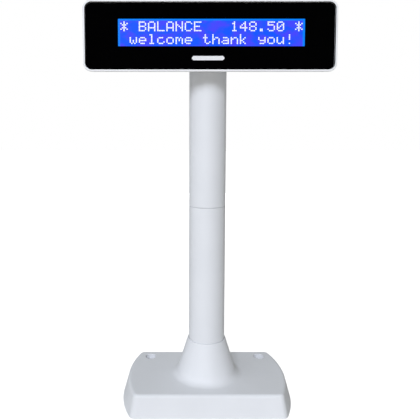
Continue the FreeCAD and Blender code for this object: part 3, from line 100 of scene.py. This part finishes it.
class Finish:
    """A Principled material under construction. Its patterns lie in the object's own space."""

    def __init__(self, name, roughness, **constants):
        self.material = bpy.data.materials.new(name)
        self.material.use_nodes = True
        self.tree = self.material.node_tree
        self.shader = self.tree.nodes["Principled BSDF"]
        self.shader.inputs["Roughness"].default_value = roughness
        for socket, value in constants.items():
            self.shader.inputs[socket.replace("_", " ")].default_value = value
        self.place = self.node("ShaderNodeTexCoord").outputs["Object"]
        self.axes = None

    def node(self, kind, **settings):
        made = self.tree.nodes.new(kind)
        for key, value in settings.items():
            setattr(made, key, value)
        return made

    def join(self, value, socket):
        """Link an output to an input, or set the input to a plain value."""
        if isinstance(value, bpy.types.NodeSocket):
            self.tree.links.new(value, socket)
        else:
            socket.default_value = value

    def noise(self, size, detail=2.0, stretch=(1, 1, 1)):
        """A 0 to 1 pattern whose features are about size across, drawn out along each axis."""
        spread = self.node("ShaderNodeMapping")
        self.join(self.place, spread.inputs["Vector"])
        spread.inputs["Scale"].default_value = [1 / k for k in stretch]
        made = self.node("ShaderNodeTexNoise")
        self.join(spread.outputs[0], made.inputs["Vector"])
        made.inputs["Scale"].default_value = 1 / size
        made.inputs["Detail"].default_value = detail
        return made.outputs["Fac"]

    def cells(self, size):
        """Distance to scattered points about size apart."""
        made = self.node("ShaderNodeTexVoronoi")
        self.join(self.place, made.inputs["Vector"])
        made.inputs["Scale"].default_value = 1 / size
        return made.outputs["Distance"]

    def axis(self, letter):
        if self.axes is None:
            split = self.node("ShaderNodeSeparateXYZ")
            self.join(self.place, split.inputs[0])
            self.axes = split.outputs
        return self.axes[letter]

    def math(self, operation, first, second=0.0):
        made = self.node("ShaderNodeMath", operation=operation)
        self.join(first, made.inputs[0])
        self.join(second, made.inputs[1])
        return made.outputs[0]

    def remap(self, value, low, high, to_low=0.0, to_high=1.0, smooth=False):
        made = self.node("ShaderNodeMapRange")
        if smooth:
            made.interpolation_type = "SMOOTHSTEP"
        self.join(value, made.inputs["Value"])
        for socket, number in (("From Min", low), ("From Max", high), ("To Min", to_low),
                               ("To Max", to_high)):
            self.join(number, made.inputs[socket])
        return made.outputs["Result"]

    def blend(self, share, first, second):
        made = self.node("ShaderNodeMix", data_type="RGBA")
        self.join(share, made.inputs["Factor"])
        self.join(first, made.inputs[6])
        self.join(second, made.inputs[7])
        return made.outputs[2]

    def colour(self, value):
        self.join(value, self.shader.inputs["Base Color"])

    def gloss(self, value):
        self.join(value, self.shader.inputs["Roughness"])

    def relief(self, height, depth, strength=1.0, under=None):
        """Bump of the given depth in metres, over any bump made before it."""
        made = self.node("ShaderNodeBump")
        made.inputs["Strength"].default_value = strength
        made.inputs["Distance"].default_value = depth
        self.join(height, made.inputs["Height"])
        if under is not None:
            self.join(under, made.inputs["Normal"])
        self.join(made.outputs["Normal"], self.shader.inputs["Normal"])
        return made.outputs["Normal"]


def rgb(red, green, blue):
    return (red, green, blue, 1.0)


# ---------------------------------------------------------------- materials


def moulded_plastic(name, tone, darker, roughness, grain, relief, specular=0.5):
    """Injection-moulded plastic with a fine sparked grain, and slow changes of tone and gloss."""
    finish = Finish(name, roughness, Specular_IOR_Level=specular)
    cloud = finish.noise(45 * MM, 3.0)
    fine = finish.noise(grain, 3.0)
    finish.colour(finish.blend(finish.remap(cloud, 0.35, 0.65), darker, tone))
    rubbed = finish.noise(14 * MM, 4.0)
    finish.gloss(finish.remap(rubbed, 0.3, 0.7, roughness - 0.05, roughness + 0.06))
    flow = finish.relief(finish.noise(9 * MM, 1.0), 0.02 * MM, 0.35)
    finish.relief(fine, relief, 0.5, flow)
    return finish.material


def white_moulding():
    return moulded_plastic("white_moulding", rgb(0.86, 0.87, 0.895), rgb(0.835, 0.845, 0.87),
                           roughness=0.55, grain=0.45 * MM, relief=0.02 * MM)


def painted_highlight_moulding():
    """The front housing's white: smoother and finer in grain than the rest, and a little whiter as a
    painted highlight for its bright rim.
    """
    # Painted highlight: this tone is whiter than white_moulding's, to stand in for the light that the
    # housing's rim catches.
    return moulded_plastic("painted_highlight_moulding", rgb(0.96, 0.96, 0.965), rgb(0.94, 0.94, 0.95),
                           roughness=0.5, grain=0.8 * MM, relief=0.006 * MM)


def metal(name, tone, darker, roughness, grain=(1, 1, 1)):
    """Bare or plated metal with drawn or tumbled scratches and slight tarnish."""
    finish = Finish(name, roughness, Metallic=1.0)
    tarnish = finish.noise(6 * MM, 5.0)
    scratch = finish.noise(0.6 * MM, 3.0, grain)
    finish.colour(finish.blend(finish.remap(tarnish, 0.35, 0.7), tone, darker))
    finish.gloss(finish.remap(scratch, 0.3, 0.7, roughness - 0.08, roughness + 0.12))
    finish.relief(scratch, 0.01 * MM, 0.5)
    return finish.material


def cast_iron():
    finish = Finish("cast_iron", 0.75, Metallic=0.6)
    grit = finish.cells(1.1 * MM)
    stain = finish.noise(10 * MM, 4.0)
    finish.colour(finish.blend(stain, rgb(0.055, 0.055, 0.06), rgb(0.12, 0.105, 0.095)))
    finish.gloss(finish.remap(stain, 0.3, 0.7, 0.62, 0.85))
    finish.relief(grit, 0.25 * MM, 0.7)
    return finish.material


def rubber(name, tone, darker, roughness):
    finish = Finish(name, roughness, Specular_IOR_Level=0.35)
    bloom = finish.noise(5 * MM, 4.0)
    finish.colour(finish.blend(finish.remap(bloom, 0.4, 0.75), darker, tone))
    finish.gloss(finish.remap(bloom, 0.3, 0.7, roughness - 0.1, roughness + 0.08))
    finish.relief(finish.noise(0.5 * MM, 3.0), 0.03 * MM, 0.6)
    return finish.material


PIN_PITCH = 2.54 * MM
TRACK_PITCH = 1.27 * MM


def circuit_board():
    """Green solder mask over straight copper tracks, which stand up a little."""
    finish = Finish("circuit_board", 0.35, Coat_Weight=0.4)
    across = finish.math("FRACT", finish.math("MULTIPLY", finish.axis("X"), 1 / PIN_PITCH))
    up = finish.math("FRACT", finish.math("MULTIPLY", finish.axis("Z"), 1 / TRACK_PITCH))
    lane = finish.noise(16 * MM, 0.0, (1, 1, 0.2))
    track = finish.math("MULTIPLY", finish.remap(up, 0.42, 0.5), finish.remap(lane, 0.45, 0.5))
    post = finish.math("MULTIPLY", finish.remap(across, 0.42, 0.5), finish.remap(lane, 0.5, 0.42))
    copper = finish.math("MAXIMUM", track, post)
    mottled = finish.noise(3 * MM, 3.0)
    mask = finish.blend(mottled, rgb(0.006, 0.075, 0.030), rgb(0.010, 0.110, 0.045))
    finish.colour(finish.blend(copper, mask, rgb(0.025, 0.19, 0.075)))
    finish.gloss(finish.remap(mottled, 0.3, 0.7, 0.28, 0.42))
    finish.relief(copper, 0.035 * MM, 0.8)
    return finish.material


def matt_moulding(name, tone, darker, roughness):
    return moulded_plastic(name, tone, darker, roughness,
                           grain=0.3 * MM, relief=0.02 * MM, specular=0.4)


def lens_sheet():
    """Clear hard-coated acrylic: it shows what is behind it and mirrors a little. Its sawn edge is
    drawn black, a painted shade standing in for the dark that internal reflection shows at a clear
    edge."""
    finish = Finish("lens_sheet", 0.05)
    smear = finish.noise(18 * MM, 4.0, (3, 1, 1))
    tree = finish.tree
    tree.nodes.remove(finish.shader)
    clear = finish.node("ShaderNodeBsdfTransparent")
    clear.inputs["Color"].default_value = rgb(0.985, 0.985, 0.99)
    mirror = finish.node("ShaderNodeBsdfGlossy")
    finish.join(finish.remap(smear, 0.35, 0.75, 0.02, 0.07), mirror.inputs["Roughness"])
    slant = finish.node("ShaderNodeLayerWeight").outputs["Facing"]
    mirrored = finish.remap(finish.math("POWER", slant, 5.0), 0.0, 1.0, 0.006, 1.0)
    mix = finish.node("ShaderNodeMixShader")
    finish.join(mirrored, mix.inputs[0])
    finish.join(clear.outputs[0], mix.inputs[1])
    finish.join(mirror.outputs[0], mix.inputs[2])
    split = finish.node("ShaderNodeSeparateXYZ")
    finish.join(finish.node("ShaderNodeTexCoord").outputs["Normal"], split.inputs[0])
    # Painted shade: the lens's side faces are drawn flat black, in place of the dark that the clear
    # edge shows by internal reflection.
    painted_edge_shade = finish.math("LESS_THAN", finish.math("ABSOLUTE", split.outputs["Y"]), 0.7)
    black = finish.node("ShaderNodeBsdfDiffuse")
    black.inputs["Color"].default_value = rgb(0.002, 0.002, 0.002)
    whole = finish.node("ShaderNodeMixShader")
    finish.join(painted_edge_shade, whole.inputs[0])
    finish.join(mix.outputs[0], whole.inputs[1])
    finish.join(black.outputs[0], whole.inputs[2])
    finish.join(whole.outputs[0], tree.nodes["Material Output"].inputs["Surface"])
    return finish.material


def mask_ink():
    """Deep black screen print on the back of the lens."""
    finish = Finish("mask_ink", 0.6, Specular_IOR_Level=0.0)
    speck = finish.noise(0.8 * MM, 4.0)
    finish.colour(finish.blend(speck, rgb(0.0003, 0.0003, 0.0004), rgb(0.0010, 0.0010, 0.0011)))
    finish.gloss(finish.remap(speck, 0.3, 0.7, 0.5, 0.7))
    finish.relief(speck, 0.004 * MM, 0.3)
    return finish.material


# Each slot's tone, darker tone and roughness, and for metals the way that the grain is drawn out.
MATT_MOULDINGS = {
    "black_plastic": ((0.022, 0.022, 0.024), (0.014, 0.014, 0.015), 0.55),
    "plug_plastic": ((0.78, 0.79, 0.82), (0.72, 0.73, 0.76), 0.5),
    "natural_acetal": ((0.72, 0.70, 0.62), (0.64, 0.62, 0.54), 0.4),
    "nylon": ((0.62, 0.60, 0.54), (0.54, 0.52, 0.46), 0.5),
    "light_guide": ((0.75, 0.80, 0.88), (0.66, 0.72, 0.82), 0.25),
    "chip_epoxy": ((0.020, 0.020, 0.021), (0.012, 0.012, 0.013), 0.5),
    "connector_ivory": ((0.70, 0.66, 0.52), (0.62, 0.58, 0.45), 0.45),
}
RUBBERS = {
    "foot_rubber": ((0.035, 0.035, 0.036), (0.018, 0.018, 0.020), 0.8),
    "zebra_rubber": ((0.10, 0.10, 0.11), (0.018, 0.018, 0.020), 0.6),
    "lead_jacket": ((0.10, 0.10, 0.105), (0.06, 0.06, 0.065), 0.55),
}
METALS = {
    "plate_steel": ((0.42, 0.42, 0.43), (0.30, 0.30, 0.31), 0.38, (12, 1, 1)),
    "zinc_steel": ((0.62, 0.63, 0.66), (0.50, 0.50, 0.52), 0.28, (1, 1, 1)),
    "spring_steel": ((0.26, 0.25, 0.24), (0.16, 0.15, 0.15), 0.35, (1, 1, 1)),
    "bezel_metal": ((0.05, 0.05, 0.055), (0.03, 0.03, 0.033), 0.5, (8, 1, 1)),
    "capacitor_can": ((0.72, 0.72, 0.74), (0.60, 0.60, 0.62), 0.22, (1, 6, 1)),
    "pin_header": ((0.80, 0.58, 0.22), (0.66, 0.46, 0.16), 0.25, (1, 1, 1)),
    "brass": ((0.78, 0.60, 0.28), (0.62, 0.45, 0.20), 0.3, (1, 1, 1)),
}


def make_slot_materials():
    """One finished material for each of the record's slots."""
    made = {
        "white_abs": white_moulding(),
        "cast_ballast": cast_iron(),
        "lens_acrylic": lens_sheet(),
        "mask_print": mask_ink(),
        "cell_glass": lit_glass(),
        "board_green": circuit_board(),
    }
    for slot, (tone, darker, roughness) in MATT_MOULDINGS.items():
        made[slot] = matt_moulding(slot, rgb(*tone), rgb(*darker), roughness)
    for slot, (tone, darker, roughness) in RUBBERS.items():
        made[slot] = rubber(slot, rgb(*tone), rgb(*darker), roughness)
    for slot, (tone, darker, roughness, grain) in METALS.items():
        made[slot] = metal(slot, rgb(*tone), rgb(*darker), roughness, grain)
    return made


# ---------------------------------------------------------------- the head's own space

TILT = next(joint for joint in frame["joints"] if joint["name"] == "head_tilt")
mask_mesh = frame["nodes"]["lens_mask"].data
facing = Vector()
for face in mask_mesh.polygons:
    if face.normal.y < -0.9:
        facing += face.normal * face.area
LEAN = math.atan2(facing.z, -facing.y)
HEAD = Matrix.Translation(Vector(TILT["pos_m"])) @ Matrix.Rotation(-LEAN, 4, "X")


def head_box(node):
    """A node's lowest and highest corners about the tilt axis, as if the head stood upright."""
    back = HEAD.inverted()
    points = [back @ vertex.co for vertex in frame["nodes"][node].data.vertices]
    low = Vector([min(point[axis] for point in points) for axis in range(3)])
    high = Vector([max(point[axis] for point in points) for axis in range(3)])
    return low, high


def mask_window():
    """Left, right, bottom and top of the mask's window about the tilt axis."""
    low, high = head_box("lens_mask")
    margin_x, margin_z = 15 * MM, 4 * MM
    back = HEAD.inverted()
    inner = [back @ vertex.co for vertex in mask_mesh.vertices]
    inner = [point for point in inner if low.z + margin_z < point.z < high.z - margin_z
             and low.x + margin_x < point.x < high.x - margin_x]
    return (min(point.x for point in inner), max(point.x for point in inner),
            min(point.z for point in inner), max(point.z for point in inner))


WINDOW = mask_window()
GLASS_FRONT = head_box("lcd_glass")[0].y


# ---------------------------------------------------------------- character screen

CHARACTER_PITCH = 7.34 * MM
LINE_PITCH = 10.0 * MM
DOT_ACROSS = 1.22 * MM
DOT_UP = 1.12 * MM
DOT_GAP = 0.22 * MM
DOT_THICKNESS = 0.08 * MM
DOT_CHAMFER = 0.12 * MM
LINES = ("* BALANCE   148.50 *", " welcome thank you! ")
DOT_ROWS = 7
DOT_COLUMNS = 5
GLYPHS = {
    "*": "..#.. #.#.# .###. ..#.. .###. #.#.# ..#..",
    "B": "####. #...# #...# ####. #...# #...# ####.",
    "A": ".###. #...# #...# #...# ##### #...# #...#",
    "L": "#.... #.... #.... #.... #.... #.... #####",
    "N": "#...# #...# ##..# #.#.# #..## #...# #...#",
    "C": ".###. #...# #.... #.... #.... #...# .###.",
    "E": "##### #.... #.... ####. #.... #.... #####",
    "1": "..#.. .##.. ..#.. ..#.. ..#.. ..#.. .###.",
    "4": "...#. ..##. .#.#. #..#. ##### ...#. ...#.",
    "8": ".###. #...# #...# .###. #...# #...# .###.",
    "5": "##### #.... ####. ....# ....# #...# .###.",
    "0": ".###. #...# #..## #.#.# ##..# #...# .###.",
    ".": "..... ..... ..... ..... ..... .##.. .##..",
    "!": "..#.. ..#.. ..#.. ..#.. ..... ..... ..#..",
    "w": "..... ..... #...# #...# #.#.# #.#.# .#.#.",
    "e": "..... ..... .###. #...# ##### #.... .###.",
    "l": ".##.. ..#.. ..#.. ..#.. ..#.. ..#.. .###.",
    "c": "..... ..... .###. #.... #.... #...# .###.",
    "o": "..... ..... .###. #...# #...# #...# .###.",
    "m": "..... ..... ##.#. #.#.# #.#.# #...# #...#",
    "t": ".#... .#... ###.. .#... .#... .#..# ..##.",
    "h": "#.... #.... #.##. ##..# #...# #...# #...#",
    "a": "..... ..... .###. ....# .#### #...# .####",
    "n": "..... ..... #.##. ##..# #...# #...# #...#",
    "k": "#.... #.... #..#. #.#.. ##... #.#.. #..#.",
    "y": "..... ..... #...# #...# .#### ....# .###.",
    "u": "..... ..... #...# #...# #...# #..## .##.#",
}


def screen_origin():
    """Where the top left dot of the first character lies, on the glass's front."""
    left, right, bottom, top = WINDOW
    middle_x = (left + right) / 2
    middle_z = (bottom + top) / 2
    columns = len(LINES[0])
    x = middle_x - (columns - 1) / 2 * CHARACTER_PITCH - (DOT_COLUMNS - 1) / 2 * DOT_ACROSS
    z = middle_z + (LINE_PITCH + (DOT_ROWS - 1) * DOT_UP) / 2
    return x, z


def lit_dots():
    first_x, first_z = screen_origin()
    for line_index, line in enumerate(LINES):
        for column, letter in enumerate(line):
            if letter == " ":
                continue
            for row, dots in enumerate(GLYPHS[letter].split()):
                for across, dot in enumerate(dots):
                    if dot == "#":
                        x = first_x + column * CHARACTER_PITCH + across * DOT_ACROSS
                        z = first_z - line_index * LINE_PITCH - row * DOT_UP
                        yield x, z


def add_tablet(mesh, x, z, half_width, half_height, front_y, back_y, chamfer):
    """A thin plate with cut corners, facing -Y."""
    outline = []
    for sx, sz in ((1, 1), (-1, 1), (-1, -1), (1, -1)):
        along = (x + sx * (half_width - chamfer), z + sz * half_height)
        aside = (x + sx * half_width, z + sz * (half_height - chamfer))
        outline.extend((aside, along) if sx * sz > 0 else (along, aside))
    front = [mesh.verts.new(HEAD @ Vector((px, front_y, pz))) for px, pz in outline]
    back = [mesh.verts.new(HEAD @ Vector((px, back_y, pz))) for px, pz in outline]
    count = len(outline)
    mesh.faces.new(front)
    mesh.faces.new(back[::-1])
    for index in range(count):
        following = (index + 1) % count
        mesh.faces.new((front[following], front[index], back[index], back[following]))


def finish_mesh(working, name):
    bmesh.ops.recalc_face_normals(working, faces=working.faces)
    mesh = bpy.data.meshes.new(name)
    working.to_mesh(mesh)
    working.free()
    return mesh


def make_characters():
    working = bmesh.new()
    for x, z in lit_dots():
        add_tablet(working, x, z, (DOT_ACROSS - DOT_GAP) / 2, (DOT_UP - DOT_GAP) / 2,
                   GLASS_FRONT - DOT_THICKNESS, GLASS_FRONT, DOT_CHAMFER)
    piece = new_piece("lcd_characters", finish_mesh(working, "lcd_characters"), lit_white())
    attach(piece, "head")


def lit_white():
    finish = Finish("lit_dots", 0.5, Emission_Strength=1.0)
    glow = finish.noise(4 * MM, 2.0)
    finish.join(finish.blend(glow, rgb(0.86, 0.95, 1.0), rgb(1.0, 1.0, 1.0)),
                finish.shader.inputs["Emission Color"])
    finish.colour(finish.blend(glow, rgb(0.2, 0.2, 0.22), rgb(0.25, 0.25, 0.27)))
    return finish.material


# Where the bright rim is full and where it has faded, measured in from each side of the window.
RIM_AT_LEFT = (0.6 * MM, 2.2 * MM)
RIM_AT_RIGHT = (0.8 * MM, 2.2 * MM)
RIM_AT_TOP = (0.6 * MM, 1.6 * MM)


def lit_glass():
    """The module's glass: a mottled blue back light, with a brighter rim at three sides."""
    left, right, _, top = WINDOW
    crown = (HEAD @ Vector((0, GLASS_FRONT, top))).z
    finish = Finish("lit_glass", 0.25, Emission_Strength=1.0, Specular_IOR_Level=0.1)
    blotch = finish.noise(7 * MM, 3.0, (1.6, 1, 1))
    blue = finish.blend(finish.remap(blotch, 0.38, 0.66, smooth=True),
                        rgb(0.006, 0.095, 1.0), rgb(0.065, 0.060, 1.0))
    full, faded = RIM_AT_LEFT
    at_left = finish.remap(finish.axis("X"), left + faded, left + full, smooth=True)
    full, faded = RIM_AT_RIGHT
    at_right = finish.remap(finish.axis("X"), right - faded, right - full, smooth=True)
    full, faded = RIM_AT_TOP
    at_top = finish.remap(finish.axis("Z"), crown - faded, crown - full, smooth=True)
    rim = finish.math("MAXIMUM", at_top, finish.math("MAXIMUM", at_left, at_right))
    glow = finish.blend(rim, blue, rgb(0.0, 0.235, 1.0))
    finish.join(glow, finish.shader.inputs["Emission Color"])
    finish.colour(rgb(0.004, 0.01, 0.06))
    return finish.material


# ---------------------------------------------------------------- black print and generic mark

PRINT_LIFT = 0.1 * MM
MARK_WIDTH = 26 * MM
MARK_HEIGHT = 3.4 * MM
MARK_DROP = 17.2 * MM
MARK_SHIFT = -1.5 * MM
MARK_THICKNESS = 0.06 * MM
MARK_CORNER = 1.2 * MM


def make_print(material):
    """The print as the lens shows it: the mask's shape again, let a little way into the lens, so
    that it doesn't share a plane with the lens's back or the housing's ledge."""
    working = bmesh.new()
    working.from_mesh(mask_mesh)
    lift = HEAD.to_3x3() @ Vector((0, -PRINT_LIFT, 0))
    bmesh.ops.translate(working, vec=lift, verts=working.verts)
    piece = new_piece("lens_print", finish_mesh(working, "lens_print"), material)
    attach(piece, "head")


def make_mark():
    """A plain white bar printed under the window, with no lettering."""
    low, high = head_box("lens_mask")
    x = (low.x + high.x) / 2 + MARK_SHIFT
    z = (low.z + high.z) / 2 - MARK_DROP
    working = bmesh.new()
    add_tablet(working, x, z, MARK_WIDTH / 2, MARK_HEIGHT / 2, low.y - PRINT_LIFT - MARK_THICKNESS,
               low.y, MARK_CORNER)
    finish = Finish("mark_ink", 0.5)
    speck = finish.noise(0.7 * MM, 3.0)
    finish.colour(finish.blend(speck, rgb(0.93, 0.93, 0.93), rgb(0.97, 0.97, 0.97)))
    finish.gloss(finish.remap(speck, 0.3, 0.7, 0.45, 0.6))
    piece = new_piece("printed_mark", finish_mesh(working, "printed_mark"), finish.material)
    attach(piece, "head")


# ---------------------------------------------------------------- carried-over nodes


def paint_nodes(materials):
    """Each node takes its slots' materials. The front housing has a finish of its own, whiter as a
    painted highlight on its rim.
    """
    for node in frame["nodes"].values():
        for index, old in enumerate(node.data.materials):
            node.data.materials[index] = materials[old.name]
    # The front housing's own finish carries a painted highlight in its whiter tone.
    frame["nodes"]["front_housing"].data.materials[0] = painted_highlight_moulding()


# ---------------------------------------------------------------- studio

FLOOR_HALF_SIDE = 6.0
BOUNCE_DROP = 0.2 * MM
BRIGHT_SIDE = (-0.6, -0.35, 0.58)
WORLD_DIMMEST = 0.142
WORLD_BRIGHTEST = 0.390
DIM_SPOT_AT = (0.05, -1.0, 0.21)
DIM_SPOT_INNER = math.radians(17)
DIM_SPOT_OUTER = math.radians(30)
DIM_SPOT_LEVEL = 0.03
SOFT_BOX_AWAY = 1.5
SOFT_BOX_WIDTH = 1.1


def make_floor():
    """A glowing pale floor for the camera, and a hidden one that sends light back up."""
    seen = Finish("pale_floor", 0.8, Specular_IOR_Level=0.0, Emission_Strength=0.86)
    drift = seen.noise(0.6, 2.0)
    tone = seen.blend(drift, rgb(0.50, 0.50, 0.50), rgb(0.52, 0.52, 0.52))
    seen.colour(tone)
    seen.join(rgb(1.0, 1.0, 1.0), seen.shader.inputs["Emission Color"])
    floor = new_piece("floor", flat_square("floor", FLOOR_HALF_SIDE, 0.0), seen.material)
    for ray in ("visible_diffuse", "visible_glossy", "visible_transmission", "visible_shadow"):
        setattr(floor, ray, False)
    hidden = Finish("floor_bounce", 0.9, Specular_IOR_Level=0.0)
    hidden.colour(rgb(0.70, 0.69, 0.66))
    bounce = new_piece("floor_bounce", flat_square("floor_bounce", FLOOR_HALF_SIDE, -BOUNCE_DROP),
                       hidden.material)
    bounce.visible_camera = False


def make_world():
    """White to the eye. The light it gives is brighter and cooler from the left, warmer from the
    right, and dim where the lens would mirror it to the camera."""
    world = bpy.data.worlds.new("studio")
    world.use_nodes = True
    scene.world = world
    tree = world.node_tree
    tree.nodes.clear()
    link = tree.links.new

    def node(kind, **settings):
        made = tree.nodes.new(kind)
        for key, value in settings.items():
            setattr(made, key, value)
        return made

    way = node("ShaderNodeTexCoord")

    def towards(direction, low, high, to_low, to_high, smooth="LINEAR"):
        dot = node("ShaderNodeVectorMath", operation="DOT_PRODUCT")
        link(way.outputs["Generated"], dot.inputs[0])
        dot.inputs[1].default_value = Vector(direction).normalized()
        level = node("ShaderNodeMapRange", interpolation_type=smooth)
        link(dot.outputs["Value"], level.inputs["Value"])
        for socket, number in (("From Min", low), ("From Max", high), ("To Min", to_low),
                               ("To Max", to_high)):
            level.inputs[socket].default_value = number
        return level.outputs["Result"]

    strength = towards(BRIGHT_SIDE, -1.0, 1.0, WORLD_DIMMEST, WORLD_BRIGHTEST)
    spot = towards(DIM_SPOT_AT, math.cos(DIM_SPOT_OUTER), math.cos(DIM_SPOT_INNER),
                   1.0, DIM_SPOT_LEVEL, "SMOOTHSTEP")
    dimmed = node("ShaderNodeMath", operation="MULTIPLY")
    link(strength, dimmed.inputs[0])
    link(spot, dimmed.inputs[1])
    tint = node("ShaderNodeMix", data_type="RGBA")
    link(towards(BRIGHT_SIDE, -0.6, 0.4, 0.0, 1.0), tint.inputs["Factor"])
    tint.inputs[6].default_value = rgb(1.0, 0.96, 0.80)
    tint.inputs[7].default_value = rgb(0.95, 0.99, 1.0)
    lighting = node("ShaderNodeBackground")
    link(tint.outputs[2], lighting.inputs["Color"])
    link(dimmed.outputs[0], lighting.inputs["Strength"])
    backdrop = node("ShaderNodeBackground")
    backdrop.inputs["Color"].default_value = rgb(1.0, 1.0, 1.0)
    rays = node("ShaderNodeLightPath")
    choose = node("ShaderNodeMixShader")
    link(rays.outputs["Is Camera Ray"], choose.inputs[0])
    link(lighting.outputs[0], choose.inputs[1])
    link(backdrop.outputs[0], choose.inputs[2])
    output = node("ShaderNodeOutputWorld")
    link(choose.outputs[0], output.inputs[0])


def from_front(azimuth, elevation):
    """The direction towards a light. Azimuth 0 is in front of the screen and grows to the right."""
    turn, rise = math.radians(azimuth), math.radians(elevation)
    return Vector((math.sin(turn) * math.cos(rise), -math.cos(turn) * math.cos(rise), math.sin(rise)))


def add_light(name, kind, towards_it, energy, colour):
    data = bpy.data.lights.new(name, kind)
    data.energy = energy
    data.color = colour
    light = bpy.data.objects.new(name, data)
    light.rotation_euler = (-towards_it).to_track_quat("-Z", "Y").to_euler()
    scene.collection.objects.link(light)
    return light


def soft_box(name, away, energy, colour, height):
    """A lit rectangle that faces the object's middle."""
    box = add_light(name, "AREA", away, energy, colour)
    box.data.shape = "RECTANGLE"
    box.data.size, box.data.size_y = SOFT_BOX_WIDTH, height
    box.location = (cad_low + cad_high) / 2 + away * SOFT_BOX_AWAY
    return box


def make_lights():
    """A broad high key from the front left, and soft boxes further round that side, behind, and
    low down in front, where the head keeps the key off the pole."""
    key = add_light("key", "SUN", from_front(-12, 30), energy=1.62, colour=(0.92, 0.966, 1.07))
    key.data.angle = math.radians(21)
    soft_box("fill", from_front(-52, 30), energy=1.9, colour=(0.955, 0.985, 1.03), height=0.9)
    rear = soft_box("rear", from_front(180, -1), energy=3.9, colour=(1.0, 0.98, 0.95), height=0.3)
    rear.visible_glossy = False
    soft_box("low", from_front(-8, -3), energy=2.0, colour=(1.0, 0.92, 0.82), height=0.12)


# ---------------------------------------------------------------- put together

make_camera()
slot_materials = make_slot_materials()
paint_nodes(slot_materials)
make_characters()
make_print(slot_materials["mask_print"])
make_mark()
make_floor()
make_world()
make_lights()
